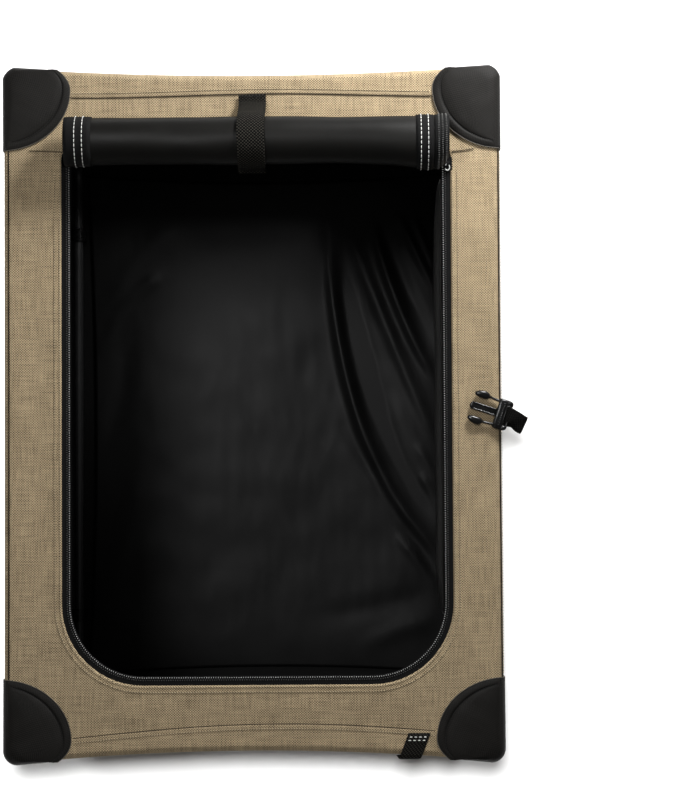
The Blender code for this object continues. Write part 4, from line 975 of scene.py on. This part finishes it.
def roll_strap():
    """The webbing that holds the roll: sewn at the rear seam, over the roll, with a loose end."""
    low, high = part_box("roll_strap")
    x, width = (low.x + high.x) / 2, high.x - low.x
    over = ROLL_R + 0.0021
    flat = ROOF_TOP + 0.0022
    path = [(high.y, flat), (high.y - 0.0045, flat), (high.y - 0.0090, flat + 0.0004)]
    path += [(ROLL_Y + over * math.cos(angle) * ROLL_SPREAD, ROLL_Z + over * math.sin(angle))
             for angle in arc(2, 196, 24, begin=0)]
    end_y = ROLL_Y - over * ROLL_SPREAD - 0.0030
    path += [(end_y + 0.0026, ROLL_Z - 0.0145), (end_y + 0.0015, flat + 0.0022),
             (end_y, flat + 0.0002)]
    path, smooth = [Vector(point) for point in path], []
    for near, far in zip(path, path[1:]):
        smooth += [near, near.lerp(far, 0.5)]
    smooth.append(path[-1])
    stations = turned([((x + 0.0004 * math.sin(i * 0.2), p.x, p.y), (1, 0, 0))
                       for i, p in enumerate(smooth)])
    strap = strap_form(stations, width, 0.0015)
    strap = strap.piece("roll_holding_strap", "roof", "webbing", WEBBING, away=(x, ROLL_Y, ROLL_Z))
    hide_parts("roll_strap")
    fold = strap_form(turned([((x, end_y + 0.0052, flat + 0.0048), (1, 0, 0)),
                              ((x, end_y + 0.0020, flat + 0.0040), (1, 0, 0)),
                              ((x, end_y - 0.0010, flat + 0.0014), (1, 0, 0))]), width, 0.0013)
    fold.piece("roll_strap_turned_end", "roof", "webbing", WEBBING, away=None)
    thread, reach = Form(), width / 2 - 0.003
    for y in (high.y - 0.002, high.y - 0.010):
        thread.seam([(x + end, y, flat + 0.0009) for end in (-reach, reach)], 0.0026)
    thread.piece("roll_strap_stitching", "roof", "webbing", BLACK_THREAD, away=None)


TAB_LEAN = math.tan(math.radians(21.0))


def front_tab():
    """The webbing tab sewn aslant on the roof: its ends level, turned down over the front edge."""
    width = 0.0240
    start = Vector((0.1790, -0.3475, ROOF_TOP + 0.0019))
    run = 0.0228
    path = [Vector((-TAB_LEAN * run * share, -run * share, 0)) for share in (0, 0.25, 0.5, 0.75, 1)]
    for angle in arc(0, 100, 8):
        reach = 0.0052 * math.sin(angle)
        path.append(path[4] + Vector((-TAB_LEAN * reach, -reach, 0.0052 * (math.cos(angle) - 1))))
    last = path[-1]
    path += [last + Vector((-0.0004 * step, 0.0003 * step, -0.0030 * step)) for step in range(1, 6)]
    stations = [(start + point, (1, 0, 0), up) for point, up in
                zip(path, [(0, 0, 1)] * 5 + [(0, -math.sin(angle), math.cos(angle))
                                             for angle in arc(0, 100, 8)] + [(0, -1, -0.1)] * 5)]
    tab = strap_form(stations, width, 0.0015)
    tab = tab.piece("front_webbing_tab", "roof", "webbing", WEBBING, away=(0.17, -0.33, 0.51))
    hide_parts("front_pull_tab")
    thread = Form()
    for back in (0.0042, 0.0078):
        middle = start + Vector((-TAB_LEAN * back, -back, 0.0010))
        half = Vector((width / 2 - 0.0018, 0, 0))
        thread.seam([middle - half, middle + half], 0.0042, 0.0030, 0.00066)
    thread.piece("front_tab_stitching", "roof", "webbing", WHITE_THREAD, away=None)


roof_zip()
roll_flap()
door_roll()
roll_strap()
front_tab()


# The side-release buckle: its bars, its skew and the webbing that holds it
MALE_LOW, MALE_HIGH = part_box("buckle_male")
BUCKLE_SKEW = math.radians(18.3)
BAR_X, BAR_Y, BAR_Z = 0.2810, -0.0067, (MALE_LOW.z + MALE_HIGH.z) / 2
BAR = Vector((BAR_X, BAR_Y, BAR_Z))
BAR_R, BAR_BACK = 0.0017, 0.0042
HOOK_R = 0.0029
WEBBING_W = 0.020
# how much narrower the webbing lies in the buckle, and how far it is pushed to one side there
GATHER = 0.0046
NECK_SHIFT = 0.0027
OUT = Vector((math.cos(BUCKLE_SKEW), -math.sin(BUCKLE_SKEW), 0))
WIDE = Vector((math.sin(BUCKLE_SKEW), math.cos(BUCKLE_SKEW), 0))
RISE = Vector((0, 0, 1))
LEVEL = Vector((0, 1, 0))


def limb(form, place, stations, sides=14, squareness=2.6):
    """A moulded limb: flattened round sections of (along, across, width, thickness)."""
    def bulge(value):
        return math.copysign(abs(value) ** (2 / squareness), value)

    angles = [2 * math.pi * step / sides for step in range(sides)]
    form.tube([[place(along, across + bulge(math.cos(angle)) * width / 2,
                      bulge(math.sin(angle)) * thick / 2) for angle in angles]
               for along, across, width, thick in stations])


def male_half():
    """The buckle's male half: two bulbous heads on thin arms, a grooved tongue, a ladder body."""
    def place(along, across, rise=0.0):
        return BAR - OUT * along + WIDE * across + RISE * rise

    form = Form()
    for side in (-1, 1):
        limb(form, place, [(0.0016, side * 0.0122, 0.0030, 0.0030),
                           (0.0024, side * 0.0130, 0.0052, 0.0046),
                           (0.0050, side * 0.0138, 0.0056, 0.0052),
                           (0.0090, side * 0.0140, 0.0056, 0.0054)])
        limb(form, place, [(0.0158, side * 0.0126, 0.0040, 0.0040),
                           (0.0185, side * 0.0132, 0.0029, 0.0034),
                           (0.0262, side * 0.0138, 0.0026, 0.0032),
                           (0.0290, side * 0.0141, 0.0030, 0.0034),
                           (0.0302, side * 0.0143, 0.0062, 0.0042),
                           (0.0325, side * 0.0145, 0.0081, 0.0050),
                           (0.0360, side * 0.0146, 0.0084, 0.0052),
                           (0.0400, side * 0.0144, 0.0074, 0.0050),
                           (0.0430, side * 0.0140, 0.0058, 0.0042),
                           (0.0448, side * 0.0136, 0.0036, 0.0030),
                           (0.0455, side * 0.0134, 0.0014, 0.0014)], squareness=2.2)
        rail = [place(0.0160 + 0.0285 * step / 8, side * 0.0032, 0.0007) for step in range(9)]
        form.rod(rail, 0.0011, 8)
    limb(form, place, [(0.0062, 0, 0.0270, 0.0036), (0.0072, 0, 0.0320, 0.0050),
                       (0.0092, 0, 0.0334, 0.0056), (0.0145, 0, 0.0336, 0.0056),
                       (0.0166, 0, 0.0324, 0.0048), (0.0174, 0, 0.0300, 0.0034)], 20, 3.4)
    limb(form, place, [(0.0160, 0, 0.0070, 0.0022), (0.0300, 0, 0.0072, 0.0022),
                       (0.0420, 0, 0.0072, 0.0024), (0.0450, 0, 0.0076, 0.0034),
                       (0.0464, 0, 0.0060, 0.0030), (0.0471, 0, 0.0030, 0.0016)], 14, 3.0)
    form.rod([place(BAR_BACK, -0.0140), place(BAR_BACK, 0.0140)], BAR_R, 12)
    for step in range(10):
        across = -0.0118 + 0.0236 * step / 9
        form.rod([place(0.0086, across, 0.0026), place(0.0098, across, 0.0032),
                  place(0.0118, across, 0.0032), place(0.0130, across, 0.0026)],
                 [0.0003, 0.0007, 0.0007, 0.0003], 6)
    for along in (0.0076, 0.0146):
        form.rod([place(along, -0.0150, 0.0024), place(along, -0.0130, 0.0030),
                  place(along, 0.0130, 0.0030), place(along, 0.0150, 0.0024)], 0.0006, 6)
    half = form.piece("male_buckle_half", "male_buckle", "plastic", PLASTIC, away=None)
    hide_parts("buckle_male")


def bezier(first, control, last, steps):
    """Places on a curve from first to last that is pulled toward control."""
    return [first.lerp(control, step / steps).lerp(control.lerp(last, step / steps), step / steps)
            for step in range(1, steps + 1)]


def ease(share):
    """A soft start and end to a share that runs from 0 to 1."""
    return 0.5 - 0.5 * math.cos(math.pi * min(share, 1))


def strap_stitching(name, body, middles):
    """Rows of stitches across webbing, each about its middle."""
    thread = Form()
    for middle in middles:
        thread.seam([middle - LEVEL * 0.0082, middle + LEVEL * 0.0082], *STRAP_STITCH)
    return thread.piece(name, body, "webbing", BLACK_THREAD, away=None)


def roof_closure_strap():
    """Webbing sewn on the roof band: it bulges out, folds back and hooks round the buckle's bar."""
    bar = BAR - OUT * BAR_BACK
    turn = BUCKLE_SKEW + math.radians(7.4)
    fold_out, fold_wide = (Vector((math.cos(turn), -math.sin(turn), 0)),
                           Vector((math.sin(turn), math.cos(turn), 0)))
    face = HALF_X + 0.0012
    sewn = Vector((face, BAR_Y - 0.0030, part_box("closure_strap")[0].z + 0.0006))
    leaves = sewn + RISE * 0.0125
    fold_r = 0.0012
    fold = bar + OUT * 0.0190 - WIDE * 0.0040 - RISE * 0.0004
    stations = [(sewn, LEVEL), (sewn.lerp(leaves, 0.5), LEVEL), (leaves, LEVEL)]
    control = leaves + RISE * 0.0135 + OUT * 0.0055
    bend = bezier(leaves, control, fold - RISE * fold_r, 14)
    widths = [WEBBING_W] * len(stations)
    for step, point in enumerate(bend, 1):
        share = step / len(bend)
        neck = ease(min(share / 0.42, (1 - share) / 0.42))
        stations.append((point + WIDE * NECK_SHIFT * neck, LEVEL.lerp(fold_wide, share)))
        widths.append(WEBBING_W - GATHER * neck)
    for angle in arc(-90, 180, 6):
        round_fold = fold_out * math.cos(angle) + RISE * math.sin(angle)
        stations.append((fold + round_fold * fold_r, fold_wide))
        widths.append(WEBBING_W)
    top = bar + RISE * HOOK_R
    start = fold + RISE * fold_r
    for step in range(1, 11):
        share = step / 10
        gather = ease(share / 0.65)
        place = (start.lerp(top, share) + RISE * 0.0007 * math.sin(math.pi * share)
                 + WIDE * NECK_SHIFT * gather)
        lean = fold_wide.lerp(WIDE, share) + RISE * 0.16 * math.sin(2 * math.pi * share)
        stations.append((place, lean))
        widths.append(WEBBING_W - GATHER * gather)
    for angle in arc(90, 205, 12):
        hook = (OUT * math.cos(angle) + RISE * math.sin(angle)) * HOOK_R
        stations.append((bar + hook + WIDE * NECK_SHIFT, WIDE))
        widths.append(WEBBING_W - GATHER)
    strap = strap_form(turned(stations), WEBBING_W, 0.0014, widths=widths)
    strap = strap.piece("roof_buckle_strap", "roof", "webbing", WEBBING_DARK, away=None)
    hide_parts("closure_strap")
    stitches = strap_stitching("roof_buckle_strap_stitching", "roof",
                               [sewn + Vector((0.0009, 0, rise)) for rise in (0.0025, 0.0095)])


def base_closure_strap():
    """The female half's short webbing: down the base band, hooked round the buckle's bar."""
    bar = Vector((0.2790, BAR_Y, 0.0105))
    face = HALF_X + 0.0012
    top = Vector((face, BAR_Y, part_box("base_closure_strap")[1].z))
    turn = Vector((face, BAR_Y, bar.z + HOOK_R))
    under = bar - RISE * HOOK_R
    places = [top, top.lerp(turn, 0.5), turn]
    places += bezier(turn, Vector((face, BAR_Y, under.z)), under, 8)
    places += [bar + Vector((math.cos(angle), 0, math.sin(angle))) * HOOK_R
               for angle in arc(-90, 205, 11)]
    strap = strap_form(turned([(place, LEVEL) for place in places]), WEBBING_W, 0.0014)
    strap = strap.piece("base_buckle_strap", "base", "webbing", WEBBING_DARK, away=None)
    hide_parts("base_closure_strap")
    stitches = strap_stitching("base_buckle_strap_stitching", "base",
                               [top + Vector((0.0009, 0, -drop)) for drop in (0.0020, 0.0080)])


def zip_pull():
    """The roof slider's pull: a C of bright wire that lies on the tape."""
    low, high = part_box("roof_zip_pull")
    middle = Vector(((low.x + high.x) / 2 - 0.0010, high.y - 0.0050, (low.z + high.z) / 2 + 0.0004))
    wire = [middle + Vector((0.0024 * math.cos(angle), 0.0036 * math.sin(angle), 0))
            for angle in arc(-152, 304, 24, begin=0)]
    form = Form().rod(wire, [0.0004] + [0.0007] * 23 + [0.0004], 10)
    form.rod([middle + Vector((0.0005, 0.0035, 0)), Vector((middle.x, high.y - 0.0006, middle.z))],
             0.0007, 10)
    pull = form.piece("roof_zip_pull_ring", "roof_zip_pull", "zipper", METAL, away=None)
    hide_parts("roof_zip_pull")


male_half()
roof_closure_strap()
base_closure_strap()
zip_pull()


BEND_HALF = 0.008


def bend_at_knee(item):
    """Bake a side wall piece's placement into its points; it is not creased at the knee."""
    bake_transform(item)


def frame_rows(inner, outer, steps):
    """Rows from one closed line of (across, height) to another around it."""
    return [[near.lerp(far, step / steps) for step in range(steps + 1)]
            for near, far in zip(inner, outer)]


KNEE_SHARES = [0, 0.08, 0.16, 0.24, 0.32, 0.38, 0.42, 0.4495, 0.4505, 0.465, 0.475, 0.482, 0.488,
               0.494, 0.5]
KNEE_SHARES += [1 - share for share in KNEE_SHARES[-2::-1]]
EVEN_SHARES = [step / 24 for step in range(25)]


def box_line(half, low, high, radius, up_shares, notch=None):
    """A rounded box in a wall's plane, from the low right corner round by the top.

    notch is how far out the sides reach where they step in, half-way up.
    """
    line = []

    def corner(u, v, first):
        for angle in arc(first, 90, 6, begin=0):
            line.append(Vector((u + radius * math.cos(angle), v + radius * math.sin(angle))))

    def side(sign, shares):
        for share in shares:
            v = low + radius + (high - low - 2 * radius) * share
            u = notch if notch and abs(share - 0.5) < 0.05 else half
            line.append(Vector((sign * u, v)))

    corner(half - radius, low + radius, -90)
    side(1, up_shares[1:-1])
    corner(half - radius, high - radius, 0)
    for share in EVEN_SHARES[1:-1]:
        line.append(Vector((half - radius - 2 * (half - radius) * share, high)))
    corner(radius - half, high - radius, 90)
    side(-1, up_shares[-2:0:-1])
    corner(radius - half, low + radius, 180)
    for share in EVEN_SHARES[1:-1]:
        line.append(Vector((radius - half + 2 * (half - radius) * share, low)))
    return line


# The side walls and the end walls run on past their solids, to meet at the corners
SIDE_END, END_SIDE = SIDE_HIGH.y + 0.0006, SIDE_HIGH.x
# Windows: half-width, low edge, high edge and corner radius
SIDE_WINDOW = (0.2700, 0.1000, 0.4312, 0.04)
REAR_WINDOW = (0.16025, 0.16, 0.4006, 0.04)
# Where a side wall's edge steps in beside a knee knuckle, and where the strip beyond it starts
NOTCH_REACH, SLOT_END = 0.3325, 0.3530


def wall_relief(u, v, seed):
    """How unevenly a wall's fabric lies."""
    return noise.noise(Vector((u * 9, v * 9, seed))) * 0.0007


NET_PITCH, STRAND_HALF, NET_T = 0.0032, 0.00045, 0.0004


def net_form(left, low, right, high, place, marks=()):
    """A woven net: flat strands both ways. place turns (u, v) into a point in space."""
    form = Form()
    levels = sorted({low, high, *marks} | {low + (high - low) * part / 12 for part in range(13)})
    count = int((right - left) / NET_PITCH)
    for index in range(count + 1):
        u = left + (right - left) * index / count
        form.grid([[place(u - STRAND_HALF, v), place(u + STRAND_HALF, v)] for v in levels])
    count = int((high - low) / NET_PITCH)
    spans = [left + (right - left) * part / 8 for part in range(9)]
    for index in range(count + 1):
        v = low + (high - low) * index / count
        form.grid([[place(u, v - STRAND_HALF), place(u, v + STRAND_HALF)] for u in spans])
    return form


# A window binding's section: share of its width and distance out of the wall
BINDING = ((0, -0.0012), (0.03, 0.0001), (0.12, 0.0006), (0.5, 0.0007), (0.9, 0.0006), (1, 0.0001))


def window_line(window, outset, shares):
    """A line some distance outside a window's edge."""
    half, low, high, radius = window
    return box_line(half + outset, low - outset, high + outset, radius + outset, shares)


def window_binding(spot, name, body, window, width, shares):
    """The tape that binds a window's edge."""
    rows = [[spot(*near.lerp(far, share), out) for share, out in BINDING]
            for near, far in zip(window_line(window, -0.0015, shares),
                                 window_line(window, width, shares))]
    tape = Form().grid(rows, closed=True)
    return tape.piece(name, body, "black_fabric", ZIP_TAPE, thickness=TAPE_T)


def window_stitching(spot, name, body, window, width, shares):
    """The stitches along the outer edge of a window's binding."""
    line = window_line(window, width - 0.0025, shares)
    seam = Form().seam([spot(*place, 0.0009) for place in line], *TRIM_STITCH, closed=True)
    return seam.piece(name, body, "black_fabric", WHITE_THREAD, away=None)


def side_wall(side):
    """One sheet from frame to frame, with its window, the window's binding and its net."""
    name = "left" if side < 0 else "right"
    face = SIDE_HIGH.x - 0.0002

    def spot(u, v, out=0.0):
        relief = wall_relief(u, v, side * 3.1) * min(1.0, abs(v - KNEE_Z) / 0.05)
        return (side * (face + out - abs(relief)), u, v)

    inner = box_line(*SIDE_WINDOW, KNEE_SHARES)
    outer = box_line(SIDE_END, SIDE_LOW.z, SIDE_TOP, 0.0010, KNEE_SHARES, NOTCH_REACH)
    rows = [[spot(*place) for place in row] for row in frame_rows(inner, outer, 8)]
    wall = Form().grid(rows, closed=True, plan=lambda p: (p.y, p.z))
    for near, far in ((SLOT_END, SIDE_END), (-SIDE_END, -SLOT_END)):
        wall.grid([[spot(near, p.y), spot(far, p.y)] for p in outer
                   if abs(p.x - NOTCH_REACH) < 1e-6], plan=lambda p: (p.y, p.z))
    wall = wall.piece(f"{name}_side_wall", None, "tan_fabric", TAN, COATING, thickness=SKIN_T)
    edge = (None, SIDE_WINDOW, 0.010, KNEE_SHARES)
    tape = window_binding(spot, f"{name}_window_binding", *edge)
    net_low, net_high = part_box("right_lower_mesh")
    depth = (net_low.x + net_high.x) / 2
    marks = [KNEE_Z + BEND_HALF * step / 3 for step in range(-3, 4)]
    net = net_form(net_low.y, net_low.z, net_high.y, 2 * KNEE_Z - net_low.z,
                   lambda u, v: (side * depth, u, v), marks)
    net = net.piece(f"{name}_window_net", None, "mesh", NET, thickness=NET_T)
    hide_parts(f"{name}_lower_panel", f"{name}_upper_panel")
    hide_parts(f"{name}_lower_mesh", f"{name}_upper_mesh")
    stitches = window_stitching(spot, f"{name}_window_stitching", *edge)
    for item in (wall, tape, net, stitches):
        bend_at_knee(item)


def end_fold(item):
    """Give an end wall piece a mesh of its own."""
    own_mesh(item)


# The front door's half-width, low edge and high edge
DOOR_HALF, DOOR_LOW, DOOR_HIGH = DOOR_BOX[1].x, DOOR_BOX[0].z, DOOR_BOX[1].z
# The width of the door's fabric round its window
FRONT_FRAME = 0.060
FRONT_WINDOW = (DOOR_HALF - FRONT_FRAME, DOOR_LOW + FRONT_FRAME, DOOR_HIGH - FRONT_FRAME, 0.02)


def door_line(outset, radius):
    """The front door's outline, or a line some distance outside it."""
    return box_line(DOOR_HALF + outset, DOOR_LOW - outset, DOOR_HIGH + outset, radius,
                    EVEN_SHARES)


def end_wall(end):
    """The front wall has a zipped door with a net window, the rear wall a net window."""
    face = abs(WALL_HIGH.y) - 0.0002

    def spot(u, v, out=0.0):
        return (u, end * (face + out - abs(wall_relief(u, v, end * 5.7))), v)

    def panel(inner, outer, steps, title, node):
        rows = [[spot(*place) for place in row] for row in frame_rows(inner, outer, steps)]
        sheet = Form().grid(rows, closed=True, plan=lambda p: (p.x, p.z))
        sheet = sheet.piece(title, "base", "tan_fabric", TAN, COATING, thickness=SKIN_T)
        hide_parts(node)
        end_fold(sheet)

    def edging(title, window, width):
        edge = ("base", window, width, EVEN_SHARES)
        tape = window_binding(spot, title, *edge)
        end_fold(tape)
        seam = window_stitching(spot, f"{title}_stitching", *edge)
        end_fold(seam)
        return [tape, seam]

    outer = box_line(END_SIDE, WALL_LOW.z, WALL_HIGH.z, 0.0010, EVEN_SHARES)
    if end > 0:
        edges = edging("rear_window_binding", REAR_WINDOW, 0.010)
        panel(box_line(*REAR_WINDOW, EVEN_SHARES), outer, 12, "rear_wall_cover",
              "rear_wall")
        low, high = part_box("rear_window_mesh")
        net_node, net_title = "rear_window_mesh", "rear_window_net"
    else:
        seams = Form()
        for outset, radius in ((0.0098, 0.060), (-0.0098, 0.040)):
            seams.seam([spot(*place, 0.0003) for place in door_line(outset, radius)],
                       0.0032, 0.0023, 0.00026, closed=True)
        seams = seams.piece("front_wall_stitching", "base", "tan_fabric", TAN_THREAD, away=None)
        end_fold(seams)
        panel(door_line(0.0005, 0.0505), outer, 6, "front_wall_cover",
              "front_wall")
        edges = edging("front_window_binding", FRONT_WINDOW, 0.008)
        panel(box_line(*FRONT_WINDOW, EVEN_SHARES), door_line(-0.0005, 0.0495), 8,
              "front_door_cover",
              "front_door")
        low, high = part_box("front_door_mesh")
        net_node, net_title = "front_door_mesh", "front_door_net"
        rows = frame_rows(door_line(-0.0078, 0.042), door_line(0.0078, 0.058), 4)
        tape = Form().grid([[spot(*place, 0.0008) for place in row] for row in rows], closed=True)
        tape = tape.piece("front_zip_tape", "base", "zipper", ZIP_TAPE, thickness=TAPE_T)
        line = [spot(*place, 0.0010) for place in door_line(0, 0.05)]
        coil = add_coil(Form(), line + line[:1], (0, -1, 0), 0.0048, 0.0022, 0.00055)
        coil = coil.piece("front_zip_coil", "base", "zipper", COIL_PAINTED_SHADE, COIL_PAINTED_SHADE, away=None)
        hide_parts("front_zipper")
        end_fold(tape)
        end_fold(coil)
    depth = (abs(low.y) + abs(high.y)) / 2
    net = net_form(low.x, low.z, high.x, high.z, lambda u, v: (u, end * depth, v))
    net = net.piece(net_title, "base", "mesh", NET, thickness=NET_T)
    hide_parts(net_node)
    end_fold(net)


# The liner's long folds: start, middle and end in plan, half-width and height
LINER_FOLDS = [((0.081, 0.272), (0.1195, 0.007), (0.224, -0.172), 0.0078, 0.0082),
               ((0.094, 0.262), (0.1480, 0.010), (0.226, -0.130), 0.0170, -0.0064),
               ((0.110, 0.250), (0.1760, 0.083), (0.226, -0.030), 0.0085, 0.0048),
               ((0.139, 0.272), (0.1756, 0.150), (0.226, 0.054), 0.0068, 0.0075),
               ((0.151, 0.262), (0.1900, 0.166), (0.227, 0.090), 0.0100, -0.0040),
               ((0.175, 0.276), (0.1983, 0.224), (0.227, 0.170), 0.0062, 0.0066),
               ((0.192, 0.276), (0.2090, 0.237), (0.227, 0.194), 0.0055, 0.0050),
               ((0.104, -0.008), (0.1756, -0.118), (0.229, -0.224), 0.0105, -0.0036),
               ((0.196, -0.026), (0.2120, -0.055), (0.227, -0.082), 0.0060, 0.0028),
               ((0.200, -0.066), (0.2140, -0.090), (0.227, -0.116), 0.0060, 0.0026),
               ((0.168, -0.148), (0.1990, -0.184), (0.227, -0.230), 0.0075, 0.0036),
               ((-0.215, 0.150), (-0.1760, 0.213), (-0.120, 0.262), 0.0130, 0.0026),
               ((-0.226, 0.090), (-0.1860, 0.160), (-0.140, 0.196), 0.0100, 0.0032),
               ((-0.222, -0.040), (-0.1970, 0.035), (-0.186, 0.110), 0.0150, -0.0030),
               ((-0.220, -0.240), (-0.1900, -0.160), (-0.172, -0.060), 0.0150, 0.0030),
               ((0.120, -0.300), (0.1700, -0.275), (0.222, -0.262), 0.0130, 0.0020),
               ((0.060, -0.255), (0.1400, -0.243), (0.214, -0.225), 0.0150, -0.0016)]


# The liner's height, how far its rim turns down and how far its sides draw in
LINER_TOP, LINER_DROP, LINER_DRAW = 0.0095, 0.0030, 0.010


def fold_heights(spots, fold):
    """How high one fold lifts each place: a soft ridge or valley along a bent line."""
    start, middle, end, width, size = fold
    start, middle, end = np.array(start), np.array(middle), np.array(end)
    pull = 2 * middle - (start + end) / 2
    shares = np.linspace(0, 1, 41)[:, None]
    path = (start * (1 - shares) + pull * shares) * (1 - shares)
    path += (pull * (1 - shares) + end * shares) * shares
    gap, place = np.full(len(spots), 9.0), np.zeros(len(spots))
    for index, (near, far) in enumerate(zip(path, path[1:])):
        run = far - near
        along = np.clip((spots - near) @ run / (run @ run), 0, 1)
        away = np.linalg.norm(spots - near - along[:, None] * run, axis=1)
        place = np.where(away < gap, (index + along) / 40, place)
        gap = np.minimum(gap, away)
    fade = np.minimum(np.minimum(1.0, 3.5 * place + 0.10), 5 * (1 - place) + 0.25)
    return size * fade * np.exp(-(gap / width) ** 2)


def liner_heights(spots):
    """The loose floor liner: long folds fan out to the right wall, faint ones lie elsewhere."""
    folded = sum(fold_heights(np.array(spots), fold) for fold in LINER_FOLDS)
    heights = []
    for (x, y), fold in zip(spots, folded):
        soft = noise.noise(Vector((x * 6, y * 6, 8.0))) * 0.0030
        soft += noise.noise(Vector((x * 21, y * 21, 3.0))) * 0.0009
        soft += noise.noise(Vector((x * 70, y * 26, 5.0))) * 0.00028
        heights.append(max(float(fold) + soft, -0.004))
    return heights


def floor_liner():
    """The padded nylon liner on the floor, with its folds and its turned-down edge."""
    low, (half_x, half_y, _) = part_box("floor_pad")
    steps_x, steps_y = 170, 230
    shares = [(2 * j / steps_x - 1, 2 * i / steps_y - 1)
              for i in range(steps_y + 1) for j in range(steps_x + 1)]
    spots = [(u * (half_x - LINER_DRAW * (1 - v * v)), v * (half_y - LINER_DRAW * (1 - u * u)))
             for u, v in shares]
    points = []
    for (u, v), (x, y), lift in zip(shares, spots, liner_heights(spots)):
        edge = (1 - u ** 10) * (1 - v ** 10)
        points.append((x, y, LINER_TOP + lift * edge - LINER_DROP * (1 - edge)))
    width = steps_x + 1
    rows = [points[first:first + width] for first in range(0, len(points), width)]
    liner = Form().grid(rows, plan=lambda p: (p.x, p.y))
    liner = liner.piece("floor_liner", "base", "black_nylon", NYLON, thickness=0.0052,
                        away=(0, 0, -1))
    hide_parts("floor_pad")
    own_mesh(liner)


for side_sign in (-1, 1):
    side_wall(side_sign)
for end_sign in (-1, 1):
    end_wall(end_sign)
floor_liner()

for node, look in (("frame", TUBE), ("knuckle", PLASTIC), ("clip", PLASTIC), ("slider", PLASTIC),
                   ("buckle", PLASTIC)):
    for item_name, item in frame["nodes"].items():
        if node in item_name:
            for slot in item.material_slots:
                slot.material = look

# Camera: over the roof and a little in front of straight above, with the photograph's scale at
# the roof's height
PHOTO_H = 785
PIXEL = 0.0010885
LOOK_AT = Vector((0.0946, 0.0217, ROOF_TOP))
CAMERA_HEIGHT = 2.4
CAMERA_SHIFT_Y = -0.086
CAMERA_ROLL = math.radians(0.35)

# The floor's half-size and grey, and from where to where it begins to glow by itself
FLOOR_HALF, FLOOR_GREY = 14.0, 0.60
GLOW_FROM, GLOW_TO = 0.8, 2.2
# How strongly the sky lights the object
SKY_LEVEL = 0.14
# Lamps: name, place, aim, size and power
LAMPS = (("key", (0.52, 0.94, 0.94), (0.05, 0.10, 0.50), 0.30, 18.8),
         ("top", (-0.52, 0.60, 2.60), (0.0, 0.0, 0.3), 0.50, 16.8))
FLOOR_LAMP = ("floor_light", (0.07, 0.052, 3.20), (0, 0, 0), 0.149, 190)


def camera():
    """The photograph's view, with its scale at the roof's height."""
    place = LOOK_AT + Vector((0, CAMERA_SHIFT_Y, CAMERA_HEIGHT))
    lens = bpy.data.cameras.new("camera")
    lens.sensor_fit = 'VERTICAL'
    lens.sensor_height = 24.0
    distance = (place - LOOK_AT).length
    lens.lens = lens.sensor_height * distance / (PIXEL * PHOTO_H)
    eye = bpy.data.objects.new("camera", lens)
    bpy.context.scene.collection.objects.link(eye)
    back = (place - LOOK_AT).normalized()
    right = Vector((1, 0, 0)) - Vector((0, 1, 0)) * math.tan(CAMERA_ROLL)
    right = (right - back * right.dot(back)).normalized()
    turn = Matrix((right, back.cross(right), back)).transposed()
    eye.matrix_world = Matrix.Translation(place) @ turn.to_4x4()
    bpy.context.scene.camera = eye


def lamp(name, place, aim, size, power):
    """A round soft lamp that faces a point."""
    light = bpy.data.lights.new(name, 'AREA')
    light.shape = 'DISK'
    light.size, light.energy = size, power
    item = bpy.data.objects.new(name, light)
    bpy.context.scene.collection.objects.link(item)
    item.location = place
    item.rotation_euler = (Vector(aim) - Vector(place)).to_track_quat('-Z', 'Y').to_euler()
    return item


def studio():
    """A white floor that keeps the shadow, a soft lamp behind on the right, another high up
    behind on the left, and an even sky.

    The floor has a lamp of its own, high up, whose light reaches nothing else. Far from the
    object the floor glows by itself, so that it stays white to its edge, and the sky behind it
    is white where the camera sees it.
    """
    floor = bpy.data.meshes.new("floor")
    corners = ((-1, -1), (1, -1), (1, 1), (-1, 1))
    floor.from_pydata([(x * FLOOR_HALF, y * FLOOR_HALF, 0) for x, y in corners], [],
                      [(0, 1, 2, 3)])
    ground = bpy.data.objects.new("floor", floor)
    ground.location.z = -0.0002
    bpy.context.scene.collection.objects.link(ground)
    white = Finish("studio_floor", Roughness=1.0, Specular_IOR_Level=0.0)
    white.shader.inputs["Base Color"].default_value = (FLOOR_GREY, FLOOR_GREY, FLOOR_GREY, 1)
    rays = white.add("LightPath").outputs
    seen = white.math('MAXIMUM', rays["Is Camera Ray"], rays["Is Glossy Ray"])
    seen = white.math('MAXIMUM', seen, rays["Is Transmission Ray"])
    white.shader.inputs["Emission Color"].default_value = (1, 1, 1, 1)
    spot = white.add("TexCoord").outputs["Object"]
    away = white.add("VectorMath", {0: spot}, operation='LENGTH').outputs["Value"]
    far = white.add("MapRange", {"Value": away, "From Min": GLOW_FROM, "From Max": GLOW_TO},
                    interpolation_type='SMOOTHSTEP').outputs[0]
    glow = white.math('MULTIPLY', seen, far)
    white.tree.links.new(glow, white.shader.inputs["Emission Strength"])
    floor.materials.append(white.material)
    world = bpy.data.worlds.new("sky")
    world.use_nodes = True
    sky = world.node_tree.nodes["Background"]
    sky.inputs[0].default_value = (1, 1, 1, 1)
    seen_sky = world.node_tree.nodes.new("ShaderNodeLightPath").outputs
    level = world.node_tree.nodes.new("ShaderNodeMath")
    level.operation = 'MULTIPLY_ADD'
    level.inputs[1].default_value, level.inputs[2].default_value = 1 - SKY_LEVEL, SKY_LEVEL
    world.node_tree.links.new(seen_sky["Is Camera Ray"], level.inputs[0])
    world.node_tree.links.new(level.outputs[0], sky.inputs[1])
    bpy.context.scene.world = world
    for light in LAMPS:
        lamp(*light)
    lit = bpy.data.collections.new("lit_floor")
    lit.objects.link(ground)
    lamp(*FLOOR_LAMP).light_linking.receiver_collection = lit


camera()
studio()
bpy.context.scene.view_settings.view_transform = 'Standard'
